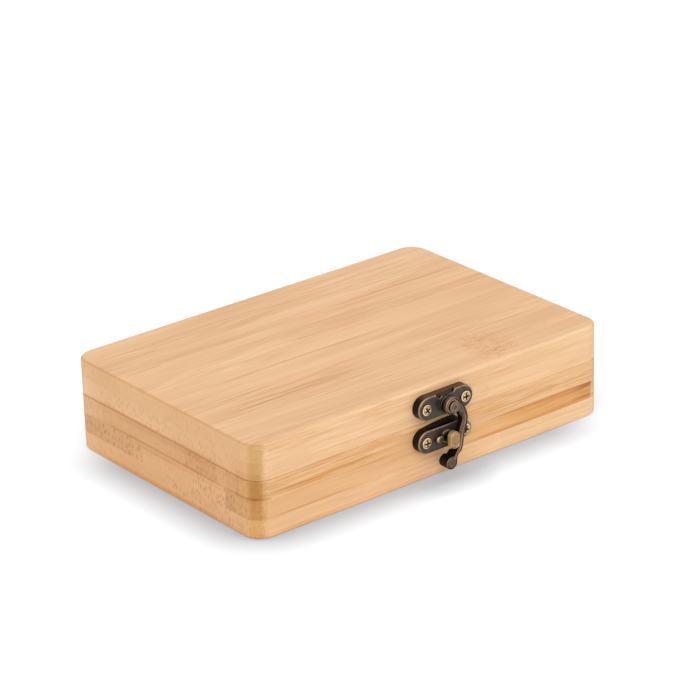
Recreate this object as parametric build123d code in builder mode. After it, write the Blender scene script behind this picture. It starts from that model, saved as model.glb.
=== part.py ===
from build123d import *

import os
from math import cos, radians, sin

# Bamboo brush box with a hinged lid, two butt hinges at the back and a swing latch in front.
# Millimetres.  The origin is the middle of the box's underside, +X runs along the front to the
# right, +Y points back to the hinges and +Z is up.  The lid is drawn closed and latched.

# ---- box: five laminated boards, three in the base and two in the lid ----
box_length = 180.0
box_depth = 120.0
base_board_thickness = 8.2
lid_board_thickness = 7.7
corner_radius = 8.3            # upright outer corners
edge_radius = 1.2              # rounding along the top and the underside
parting_chamfer = 0.4          # small bevel on both sides of the lid joint
wall_thickness = 9.0           # wood left round the pockets
pocket_corner_radius = 6.0
pocket_chamfer = 0.6           # bevel round the mouth of each pocket

# ---- swing latch on the front face ----
latch_offset = 1.9             # latch centre line, right of the middle of the box
pivot_rise = 7.55              # pivot above the lid joint
keeper_drop = 6.65             # keeper stud below the lid joint
plate_length = 28.0
plate_height = 9.7
plate_thickness = 4.1
plate_back_thickness = 2.4     # straight-edged back layer, behind the scallops
plate_edge_radius = 0.5
waist_depth = 1.3              # how far the middle of the lid plate's front layer is cut down
scallop_radius = 1.5
scallop_spacing = 6.6          # between the two scallops
scallop_insets = (0.5, -0.2)   # the left and right scallop's centre inside the long edge
latch_screw_spacing = 20.0
keeper_plate_shift = 0.3       # keeper plate's middle left of the pivot line
keeper_swell = (0.95, 1.25)    # its back layer rises that much above its upper edge
keeper_swell_places = (-2.0, 7.0)
keeper_tip_radius = 3.2        # its right end is narrower
keeper_tip_centre = 10.3
keeper_body_centre = 5.0       # the right end of its full height

boss_radius = 3.3              # round seat under the arm's eye
boss_height = 0.9
rivet_shank_radius = 1.3
rivet_head_radius = 2.45
rivet_head_thickness = 1.05
rivet_head_bevel = 0.25
rivet_dimple_radius = 0.6
rivet_dimple_depth = 0.4
rivet_tail_radius = 2.2        # upset end, sunk in the back of the plate
rivet_tail_thickness = 0.8

arm_thickness = 3.4
arm_edge_radius = 0.6
arm_corner_radius = 0.8        # inside corners where the arm meets its eye and its tab
eye_radius = 3.6
eye_exit_angle = 50.0          # where the arm's outer edge leaves the eye
eye_return_angle = -60.0       # where its inner edge comes back to the eye
eye_return_heading = 135.0     # and the way that edge points there
arm_bow = 7.45                  # outer edge beside the pivot line, at its widest
bow_share = 0.64               # place of that bow on the way from the pivot to the keeper
arm_width = 3.1                # at the bow
arm_waist = 2.6                # beside the keeper stud
arm_tail_width = 2.2           # between the stud and the tab
arm_tail_reach = 3.8           # outer edge there, right of the pivot line
tail_share = 0.64              # place of that on the way from the keeper to the tab
arm_side_clearance = 0.9       # arm to stud head
tab_radius = 2.7               # rounded finger tab at the arm's end
tab_drop = 10.3                # tab centre below the keeper stud
tab_shift = 0.8                # tab centre left of the pivot line
tab_exit_heading = 30.0        # the way the arm's inner edge points where it leaves the tab
tail_extra_depth = 1.8         # the tail is that much deeper than the arm

stud_neck_radius = 1.9
stud_head_width = 4.6
stud_head_height = 7.2
stud_head_thickness = 2.4
stud_head_radius = 0.4         # rounding round the front of the head
stud_base_radius = 3.0         # low round swelling of the plate under the stud
stud_base_height = 0.7
stud_base_rounding = 0.8       # as a share of that height
stud_rib_reach = 4.5           # rib from under the stud to the left, to the centre of its round end
stud_rib_width = 3.2
stud_knob_length = 3.9         # oblong knob on the rib's left end
stud_knob_height = 1.7
stud_knob_rounding = 0.9
stud_tenon_radius = 1.5        # riveted through the plate
lip_width = 1.3                # crescent lip of the arm, behind the stud head
lip_thickness = 1.9
lip_clearance = 0.3            # lip to neck, and lip to the back of the head
lip_angles = (-75.0, 40.0)     # from below the neck to the right of it

# ---- butt hinges on the back face ----
hinge_inset = 38.0             # hinge centre from the end of the box
hinge_length = 25.0
leaf_width = 10.0              # from the pin's axis to the leaf's edge
leaf_thickness = 1.0
leaf_corner_radius = 1.5
barrel_radius = 1.6
barrel_clearance = 0.15        # barrel to wood
knuckle_count = 3
knuckle_clearance = 0.2        # knuckle to knuckle, and leaf to leaf
pin_radius = 0.8
pin_head_radius = 1.25
pin_head_height = 0.7
pin_head_rounding = 0.35
hinge_screw_spacing = 15.0
hinge_screw_rise = 6.0         # screw line from the pin's axis

# ---- fasteners and fits ----
latch_screw_head_radius = 2.3
latch_screw_shank_radius = 1.25
latch_screw_length = 9.0
latch_screw_rim = 0.4          # straight rim above the plate
latch_screw_dome = 0.45
hinge_screw_head_radius = 1.9
hinge_screw_shank_radius = 0.95
hinge_screw_length = 7.0
hinge_screw_rim = 0.1
hinge_screw_dome = 0.25
screw_tip_length = 1.6
recess_span = 0.66             # cross recess in a screw head, as shares of the head's diameter
recess_width = 0.19
recess_depth = 0.55            # as a share of the depth of the head's cone
fit_gap = 0.05                 # radial clearance of pins, rivets and screws in their holes
turning_gap = 0.15             # between faces that turn on each other

# ---- heights and planes that follow from them ----
parting_height = 3 * base_board_thickness
front_y = -box_depth / 2
back_y = box_depth / 2
pivot_height = parting_height + pivot_rise
keeper_height = parting_height - keeper_drop
reach = pivot_rise + keeper_drop
arm_back = plate_thickness + boss_height + turning_gap
arm_front = arm_back + arm_thickness
stud_head_back = arm_back + lip_thickness + lip_clearance
hinge_axis_y = back_y + barrel_clearance + barrel_radius
hinge_centres = {"left": -(box_length / 2 - hinge_inset), "right": box_length / 2 - hinge_inset}


def front_plane(height, across=0.0, out=0.0):
    """A plane facing forward, at a height, across from the latch's centre and out from the wood."""
    return Plane(origin=(latch_offset + across, front_y - out, height), x_dir=(1, 0, 0), z_dir=(0, -1, 0))


def back_plane(across, height, out=0.0):
    """A plane facing back, across from the box's middle, at a height and out from the wood."""
    return Plane(origin=(across, back_y + out, height), x_dir=(-1, 0, 0), z_dir=(0, 1, 0))


def screw(head_radius, shank_radius, length, rim_height, dome_height):
    """A cross-recessed countersunk screw along -Z, its head's widest edge at z = 0."""
    cone_depth = head_radius - shank_radius
    head_diameter = 2 * head_radius
    top = rim_height + dome_height
    with BuildPart() as body:
        with BuildSketch(Plane.XZ):
            with BuildLine():
                TangentArc((0, top), (head_radius, rim_height), tangent=(1, 0))
                Polyline(
                    (head_radius, rim_height),
                    (head_radius, 0),
                    (shank_radius, -cone_depth),
                    (shank_radius, screw_tip_length - length),
                    (0, -length),
                    (0, top),
                )
            make_face()
        revolve(axis=Axis.Z)
        with BuildSketch(Plane.XY.offset(top)):
            Rectangle(recess_span * head_diameter, recess_width * head_diameter)
            Rectangle(recess_width * head_diameter, recess_span * head_diameter)
        extrude(amount=-(top + recess_depth * cone_depth), mode=Mode.SUBTRACT)
    return body.part


def screw_cavity(head_radius, shank_radius, length, rim_height, dome_height):
    """The drilled and countersunk hole for such a screw, wider by the fit's gap."""
    cone_depth = head_radius - shank_radius
    top = rim_height + dome_height
    with BuildPart() as cavity:
        with BuildSketch(Plane.XZ):
            with BuildLine():
                Polyline(
                    (0, top),
                    (head_radius + fit_gap, top),
                    (head_radius + fit_gap, 0),
                    (shank_radius + fit_gap, -cone_depth),
                    (shank_radius + fit_gap, screw_tip_length - length),
                    (0, -length - fit_gap),
                    close=True,
                )
            make_face()
        revolve(axis=Axis.Z)
    return cavity.part


latch_screw_sizes = (
    latch_screw_head_radius,
    latch_screw_shank_radius,
    latch_screw_length,
    latch_screw_rim,
    latch_screw_dome,
)
hinge_screw_sizes = (
    hinge_screw_head_radius,
    hinge_screw_shank_radius,
    hinge_screw_length,
    hinge_screw_rim,
    hinge_screw_dome,
)
latch_screw = screw(*latch_screw_sizes)
latch_screw_hole = screw_cavity(*latch_screw_sizes)
hinge_screw = screw(*hinge_screw_sizes)
hinge_screw_hole = screw_cavity(*hinge_screw_sizes)


def latch_screw_planes(height, across=0.0):
    """Planes of the two screws of a latch plate, on the plate's front."""
    return [
        front_plane(height, across + side * latch_screw_spacing / 2, plate_thickness)
        for side in (-1, 1)
    ]


def hinge_screw_planes(side):
    """Planes of the screws of both hinges: side is 1 for the lid's leaves, -1 for the base's."""
    height = parting_height + side * hinge_screw_rise
    return [
        back_plane(centre + step * hinge_screw_spacing / 2, height, leaf_thickness)
        for centre in hinge_centres.values()
        for step in (-1, 1)
    ]


# ---- the boards ----
def board(bottom, thickness, pocket=True):
    """One board of the laminate with its lower face at bottom, cut out for the pocket or whole."""
    with BuildPart() as slab:
        with BuildSketch(Plane.XY.offset(bottom)):
            RectangleRounded(box_length, box_depth, corner_radius)
            if pocket:
                RectangleRounded(
                    box_length - 2 * wall_thickness,
                    box_depth - 2 * wall_thickness,
                    pocket_corner_radius,
                    mode=Mode.SUBTRACT,
                )
        extrude(amount=thickness)
    return slab.part


with BuildPart() as base_floor_board:
    add(board(0, base_board_thickness, pocket=False))
    fillet(base_floor_board.faces().sort_by(Axis.Z)[0].outer_wire().edges(), edge_radius)

with BuildPart() as base_lower_frame:
    add(board(base_board_thickness, base_board_thickness))

with BuildPart() as base_upper_frame:
    add(board(2 * base_board_thickness, base_board_thickness))
    chamfer(base_upper_frame.faces().sort_by(Axis.Z)[-1].outer_wire().edges(), parting_chamfer)
    chamfer(base_upper_frame.faces().sort_by(Axis.Z)[-1].inner_wires()[0].edges(), pocket_chamfer)
    with Locations(*latch_screw_planes(keeper_height, -keeper_plate_shift)):
        add(latch_screw_hole, mode=Mode.SUBTRACT)
    with Locations(*hinge_screw_planes(-1)):
        add(hinge_screw_hole, mode=Mode.SUBTRACT)

with BuildPart() as lid_frame:
    add(board(parting_height, lid_board_thickness))
    chamfer(lid_frame.faces().sort_by(Axis.Z)[0].outer_wire().edges(), parting_chamfer)
    chamfer(lid_frame.faces().sort_by(Axis.Z)[0].inner_wires()[0].edges(), pocket_chamfer)
    with Locations(*latch_screw_planes(pivot_height)):
        add(latch_screw_hole, mode=Mode.SUBTRACT)
    with Locations(*hinge_screw_planes(1)):
        add(hinge_screw_hole, mode=Mode.SUBTRACT)

with BuildPart() as lid_top_board:
    add(board(parting_height + lid_board_thickness, lid_board_thickness, pocket=False))
    fillet(lid_top_board.faces().sort_by(Axis.Z)[-1].outer_wire().edges(), edge_radius)
    with Locations(*latch_screw_planes(pivot_height)):
        add(latch_screw_hole, mode=Mode.SUBTRACT)


# ---- the swing latch ----
plate_edge = plate_height / 2
lobe_centre = (plate_length - plate_height) / 2


def latch_plate(outline, height, across=0.0):
    """A cast plate of an outline, with a countersunk hole in each end."""
    with BuildPart() as plate:
        with BuildSketch(front_plane(height, across)):
            add(outline)
        extrude(amount=plate_thickness)
        fillet(plate.faces().sort_by(Axis.Y)[0].edges(), plate_edge_radius)
        with Locations(*latch_screw_planes(height, across)):
            add(latch_screw_hole, mode=Mode.SUBTRACT)
    return plate.part


with BuildSketch() as lid_plate_outline:
    SlotOverall(plate_length, plate_height)

with BuildSketch() as keeper_plate_outline:
    with Locations((-lobe_centre, 0), (keeper_body_centre, 0)):
        Circle(plate_edge)
    with Locations((keeper_tip_centre, 0)):
        Circle(keeper_tip_radius)
    make_hull()

with BuildPart() as latch_lid_plate:
    add(latch_plate(lid_plate_outline.sketch, pivot_height))
    # the front layer's upper edge, cut down and scalloped in the middle
    with BuildSketch(front_plane(pivot_height, out=plate_thickness)):
        with Locations((0, plate_edge - waist_depth / 2)):
            Rectangle(scallop_spacing, waist_depth)
        scallops = zip((-scallop_spacing / 2, scallop_spacing / 2), scallop_insets)
        with Locations(*((x, plate_edge - inset) for x, inset in scallops)):
            Circle(scallop_radius)
    extrude(amount=plate_back_thickness - plate_thickness, mode=Mode.SUBTRACT)
    with BuildSketch(front_plane(pivot_height)):
        Circle(boss_radius)
    extrude(amount=plate_thickness + boss_height)
    with BuildSketch(front_plane(pivot_height)):
        Circle(rivet_shank_radius + fit_gap)
    extrude(amount=arm_front, mode=Mode.SUBTRACT)
    with BuildSketch(front_plane(pivot_height)):
        Circle(rivet_tail_radius + fit_gap)
    extrude(amount=rivet_tail_thickness + fit_gap, mode=Mode.SUBTRACT)

with BuildPart() as latch_rivet:
    with BuildSketch(front_plane(pivot_height)):
        Circle(rivet_tail_radius)
    extrude(amount=rivet_tail_thickness)
    with BuildSketch(front_plane(pivot_height)):
        Circle(rivet_shank_radius)
    extrude(amount=arm_front + turning_gap)
    with BuildSketch(front_plane(pivot_height, out=arm_front + turning_gap)):
        Circle(rivet_head_radius)
    extrude(amount=rivet_head_thickness)
    chamfer(latch_rivet.faces().sort_by(Axis.Y)[0].edges(), rivet_head_bevel)
    with BuildSketch(latch_rivet.faces().sort_by(Axis.Y)[0]):
        Circle(rivet_dimple_radius)
    extrude(amount=-rivet_dimple_depth, mode=Mode.SUBTRACT)

# The arm bows out from its eye, passes to the right of the stud's head and ends in a finger tab.
# Its places are given about the pivot, x to the right and y up.
tab_centre = Vector(-tab_shift, -reach - tab_drop)
head_side = stud_head_width / 2 + arm_side_clearance
bow_height = -bow_share * reach
tail_height = -reach - tail_share * tab_drop


def heading(angle):
    """The unit vector at an angle counted from the right."""
    return Vector(cos(radians(angle)), sin(radians(angle)))


def arm_outline():
    """The arm's outline about its pivot: eye, bowed arm and tab."""
    eye_exit = eye_radius * heading(eye_exit_angle)
    eye_return = eye_radius * heading(eye_return_angle)
    tail_inside = Vector(arm_tail_reach - arm_tail_width, tail_height)
    with BuildSketch() as outline:
        Circle(eye_radius)
        with Locations(tab_centre):
            Circle(tab_radius)
        with BuildLine():
            outer = Spline(
                eye_exit,
                (arm_bow, bow_height),
                (head_side + arm_waist, -reach),
                (arm_tail_reach, tail_height),
                tab_centre + Vector(tab_radius, 0),
                tangents=(heading(eye_exit_angle - 90), heading(-90)),
            )
            inner = Spline(
                tab_centre + Vector(0, tab_radius / 2),
                tail_inside,
                (head_side, -reach - stud_neck_radius),
                (head_side, -reach + stud_neck_radius),
                (arm_bow - arm_width, bow_height),
                eye_return / 2,
                tangents=(heading(tab_exit_heading), heading(eye_return_heading)),
            )
            Polyline(outer @ 1, tab_centre, inner @ 0)
            Polyline(inner @ 1, (0, 0), outer @ 0)
        make_face()
        eye_corner = outline.vertices().sort_by_distance(eye_return)[0]
        tab_corner = outline.vertices().sort_by_distance(tail_inside)[0]
        fillet([eye_corner, tab_corner], arm_corner_radius)
    return outline.sketch


with BuildPart() as latch_arm:
    with BuildSketch(front_plane(pivot_height, out=arm_back)):
        add(arm_outline())
    extrude(amount=arm_thickness)
    fillet(latch_arm.faces().sort_by(Axis.Y)[0].edges(), arm_edge_radius)
    # the deeper tail: the same outline, all above it cut away
    arm_length = 2 * (reach + tab_drop)
    with BuildSketch(front_plane(pivot_height, out=arm_back)):
        add(arm_outline())
        with Locations((0, tail_height)):
            Rectangle(arm_length, arm_length, align=(Align.CENTER, Align.MIN), mode=Mode.SUBTRACT)
    extrude(amount=-tail_extra_depth)
    # the crescent lip that lies behind the stud's head, against its neck
    lip_inner_radius = stud_neck_radius + lip_clearance
    lip_outer_radius = lip_inner_radius + lip_width
    with BuildSketch(front_plane(keeper_height, out=arm_back)):
        with BuildLine():
            low, high = lip_angles
            inside = CenterArc((0, 0), lip_inner_radius, low, high - low)
            outside = CenterArc((0, 0), lip_outer_radius, low, high - low)
            Line(inside @ 0, outside @ 0)
            Line(inside @ 1, outside @ 1)
        make_face()
    extrude(amount=lip_thickness)
    with BuildSketch(front_plane(pivot_height, out=arm_back)):
        Circle(rivet_shank_radius + fit_gap)
    extrude(amount=arm_thickness, mode=Mode.SUBTRACT)

with BuildPart() as latch_keeper_plate:
    add(latch_plate(keeper_plate_outline.sketch, keeper_height, -keeper_plate_shift))
    # the back layer's upper edge, bowed up between the ends
    with BuildSketch(front_plane(keeper_height, -keeper_plate_shift)):
        with BuildLine():
            swell = Spline(
                (-lobe_centre, plate_edge),
                *((x, plate_edge + rise) for x, rise in zip(keeper_swell_places, keeper_swell)),
            )
            Polyline(swell @ 1, (keeper_tip_centre, keeper_tip_radius), (0, 0), swell @ 0)
        make_face()
    extrude(amount=plate_back_thickness)
    with BuildSketch(front_plane(keeper_height)):
        Circle(stud_base_radius)
        with Locations((-stud_rib_reach / 2, 0)):
            SlotOverall(stud_rib_reach + stud_rib_width, stud_rib_width)
    extrude(amount=plate_thickness + stud_base_height)
    fillet(latch_keeper_plate.faces().sort_by(Axis.Y)[0].edges(), stud_base_rounding * stud_base_height)
    with BuildSketch(front_plane(keeper_height, (stud_knob_length - stud_rib_width) / 2 - stud_rib_reach)):
        SlotOverall(stud_knob_length, stud_rib_width)
    extrude(amount=plate_thickness + stud_knob_height)
    fillet(latch_keeper_plate.faces().sort_by(Axis.Y)[0].edges(), stud_knob_rounding)
    with BuildSketch(front_plane(keeper_height)):
        Circle(stud_tenon_radius + fit_gap)
    extrude(amount=arm_front, mode=Mode.SUBTRACT)

with BuildPart() as latch_keeper_stud:
    with BuildSketch(front_plane(keeper_height)):
        Circle(stud_tenon_radius)
    extrude(amount=plate_thickness + stud_base_height)
    with BuildSketch(front_plane(keeper_height, out=plate_thickness + stud_base_height)):
        Circle(stud_neck_radius)
    extrude(amount=stud_head_back - plate_thickness - stud_base_height)
    with BuildSketch(front_plane(keeper_height, out=stud_head_back)):
        SlotOverall(stud_head_height, stud_head_width, rotation=90)
    extrude(amount=stud_head_thickness)
    fillet(latch_keeper_stud.faces().sort_by(Axis.Y)[0].edges(), stud_head_radius)

with BuildPart() as latch_lid_screws:
    with Locations(*latch_screw_planes(pivot_height)):
        add(latch_screw)

with BuildPart() as latch_base_screws:
    with Locations(*latch_screw_planes(keeper_height, -keeper_plate_shift)):
        add(latch_screw)


# ---- the butt hinges ----
knuckle_pitch = hinge_length / knuckle_count


def hinge_plane(across):
    """A plane across the hinges' axis, facing right, its origin on the axis."""
    return Plane(origin=(across, hinge_axis_y, parting_height), x_dir=(0, 1, 0), z_dir=(1, 0, 0))


def hinge_leaf(centre, side):
    """A hinge's leaf with its knuckles: side is 1 for the lid's leaf, -1 for the base's."""
    end_plane = hinge_plane(centre - hinge_length / 2)
    own = range(1 if side == 1 else 0, knuckle_count, 2)
    other = range(0 if side == 1 else 1, knuckle_count, 2)
    with BuildPart() as leaf:
        with BuildSketch(back_plane(centre, parting_height)) as flat:
            with Locations((0, side * (leaf_width + knuckle_clearance) / 2)):
                Rectangle(hinge_length, leaf_width - knuckle_clearance)
            far_corners = flat.vertices().sort_by(Axis.Y, reverse=side == 1)[:2]
            fillet(far_corners, leaf_corner_radius)
        extrude(amount=leaf_thickness)
        for i in other:
            with BuildSketch(end_plane.offset(i * knuckle_pitch)):
                Circle(barrel_radius + knuckle_clearance)
            extrude(amount=knuckle_pitch, mode=Mode.SUBTRACT)
        for i in own:
            with BuildSketch(end_plane.offset(i * knuckle_pitch + knuckle_clearance / 2)):
                Circle(barrel_radius)
            extrude(amount=knuckle_pitch - knuckle_clearance)
        with BuildSketch(end_plane):
            Circle(pin_radius + fit_gap)
        extrude(amount=hinge_length, mode=Mode.SUBTRACT)
        with Locations(*hinge_screw_planes(side)):
            add(hinge_screw_hole, mode=Mode.SUBTRACT)
    return leaf.part


def hinge_pin(centre):
    """A headed pin through the knuckles of one hinge."""
    pin_plane = hinge_plane(centre)
    with BuildPart() as pin:
        with BuildSketch(pin_plane):
            Circle(pin_radius)
        extrude(amount=hinge_length / 2, both=True)
        for side in (-1, 1):
            with BuildSketch(pin_plane.offset(side * hinge_length / 2)):
                Circle(pin_head_radius)
            extrude(amount=side * pin_head_height)
        fillet(pin.faces().filter_by(Axis.X).sort_by(Axis.X)[0].edges(), pin_head_rounding)
        fillet(pin.faces().filter_by(Axis.X).sort_by(Axis.X)[-1].edges(), pin_head_rounding)
    return pin.part


pieces = {
    "base_floor_board": base_floor_board.part,
    "base_lower_frame": base_lower_frame.part,
    "base_upper_frame": base_upper_frame.part,
    "lid_frame": lid_frame.part,
    "lid_top_board": lid_top_board.part,
    "latch_lid_plate": latch_lid_plate.part,
    "latch_rivet": latch_rivet.part,
    "latch_arm": latch_arm.part,
    "latch_lid_screws": latch_lid_screws.part,
    "latch_keeper_plate": latch_keeper_plate.part,
    "latch_keeper_stud": latch_keeper_stud.part,
    "latch_base_screws": latch_base_screws.part,
}

for place, centre in hinge_centres.items():
    pieces[f"hinge_{place}_lid_leaf"] = hinge_leaf(centre, 1)
    pieces[f"hinge_{place}_base_leaf"] = hinge_leaf(centre, -1)
    pieces[f"hinge_{place}_pin"] = hinge_pin(centre)

for owner, side in {"lid": 1, "base": -1}.items():
    with BuildPart() as hinge_screws:
        with Locations(*hinge_screw_planes(side)):
            add(hinge_screw)
    pieces[f"hinge_{owner}_screws"] = hinge_screws.part

os.makedirs("parts", exist_ok=True)
for name, piece in pieces.items():
    piece.label = name
    export_step(piece, f"parts/{name}.step")
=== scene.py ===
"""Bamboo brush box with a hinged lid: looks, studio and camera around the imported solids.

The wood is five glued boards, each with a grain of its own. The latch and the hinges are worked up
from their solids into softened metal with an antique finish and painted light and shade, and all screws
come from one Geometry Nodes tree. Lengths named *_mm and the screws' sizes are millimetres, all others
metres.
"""

import logging
import math
from dataclasses import dataclass, field
from enum import Enum
from typing import Any

import bpy
import numpy as np
from mathutils import Matrix, Vector
from mathutils.kdtree import KDTree


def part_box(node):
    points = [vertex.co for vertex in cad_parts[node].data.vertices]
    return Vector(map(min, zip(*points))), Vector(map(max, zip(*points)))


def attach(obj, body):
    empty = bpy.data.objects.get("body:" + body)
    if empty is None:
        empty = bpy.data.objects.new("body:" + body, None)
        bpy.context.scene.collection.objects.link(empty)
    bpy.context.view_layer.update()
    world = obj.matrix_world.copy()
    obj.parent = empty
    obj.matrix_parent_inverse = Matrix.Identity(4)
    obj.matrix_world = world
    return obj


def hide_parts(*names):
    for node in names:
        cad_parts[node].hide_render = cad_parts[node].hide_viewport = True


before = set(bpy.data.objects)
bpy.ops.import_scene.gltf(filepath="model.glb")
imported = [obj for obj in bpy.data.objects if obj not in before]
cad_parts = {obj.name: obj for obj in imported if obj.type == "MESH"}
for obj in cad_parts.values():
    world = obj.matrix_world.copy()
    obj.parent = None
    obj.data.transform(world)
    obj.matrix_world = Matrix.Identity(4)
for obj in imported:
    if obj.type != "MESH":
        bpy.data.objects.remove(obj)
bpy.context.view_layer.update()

MM = 0.001
Colour = tuple[float, float, float, float]
log = logging.getLogger("brush_box")


def tone(red: float, green: float, blue: float) -> Colour:
    """The linear colour of a red, green and blue given from 0 to 255 as a screen shows them."""
    shares = (red / 255, green / 255, blue / 255)
    linear = [c / 12.92 if c <= 0.04045 else ((c + 0.055) / 1.055) ** 2.4 for c in shares]
    return (linear[0], linear[1], linear[2], 1.0)


def factor(red: float, green: float, blue: float) -> Colour:
    """A colour to multiply another one by, where 1 changes nothing."""
    return (red, green, blue, 1.0)


WHITE = factor(1.0, 1.0, 1.0)


def box_mm(node: str) -> tuple[np.ndarray, np.ndarray]:
    """The low and the high corner of a solid's box, in millimetres."""
    low, high = (np.array(corner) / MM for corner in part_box(node))
    return low, high


LEFT_MM, FRONT_MM = (round(float(c), 3) for c in box_mm("base_floor_board")[0][:2])
TOP_MM = round(float(box_mm("lid_top_board")[1][2]), 3)
BOX_DEPTH_MM = -2 * FRONT_MM
WHOLE_MM = 60  # a tint's reach along Z that takes in the whole height of a board


# ---- node trees ----
class Value:
    """A number socket of a tree; arithmetic on it adds Math nodes."""

    def __init__(self, graph: "Graph", socket: bpy.types.NodeSocket) -> None:
        """Wraps one output socket of a graph."""
        self.graph = graph
        self.socket = socket

    def __add__(self, other: "Number") -> "Value":
        """The sum with a number or another value."""
        return self.graph.math("ADD", self, other)

    def __sub__(self, other: "Number") -> "Value":
        """The difference to a number or another value."""
        return self.graph.math("SUBTRACT", self, other)

    def __mul__(self, other: "Number") -> "Value":
        """The product with a number or another value."""
        return self.graph.math("MULTIPLY", self, other)

    def __truediv__(self, other: "Number") -> "Value":
        """The quotient by a number or another value."""
        return self.graph.math("DIVIDE", self, other)

    def __rsub__(self, other: "Number") -> "Value":
        """A number minus this value."""
        return self.graph.math("SUBTRACT", other, self)

    def __gt__(self, other: "Number") -> "Value":
        """1 where this value is the larger one, 0 elsewhere."""
        return self.graph.math("GREATER_THAN", self, other)

    def __lt__(self, other: "Number") -> "Value":
        """1 where this value is the smaller one, 0 elsewhere."""
        return self.graph.math("LESS_THAN", self, other)

    def __pow__(self, exponent: float) -> "Value":
        """This value to a power."""
        return self.graph.math("POWER", self, exponent)

    def __abs__(self) -> "Value":
        """The value without its sign."""
        return self.graph.math("ABSOLUTE", self)

    __radd__ = __add__

    def clamped(self) -> "Value":
        """The value held between 0 and 1."""
        return self.graph.math("ADD", self, 0.0, clamp=True)

    def step(self, low: float, high: float) -> "Value":
        """A smooth step of the value.

        Args:
            low: where the step begins, at 0.
            high: where it ends, at 1; less than low for a falling step.

        Returns:
            The stepped value, from 0 to 1.
        """
        swap = high < low
        ends = (high, low) if swap else (low, high)
        node = self.graph.node(
            "ShaderNodeMapRange",
            {"interpolation_type": "SMOOTHSTEP"},
            {"Value": self, "From Min": ends[0], "From Max": ends[1]},
        )
        stepped = Value(self.graph, node.outputs["Result"])
        return 1 - stepped if swap else stepped


Number = Value | float
Place = tuple[Value, Value, Value]


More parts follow.
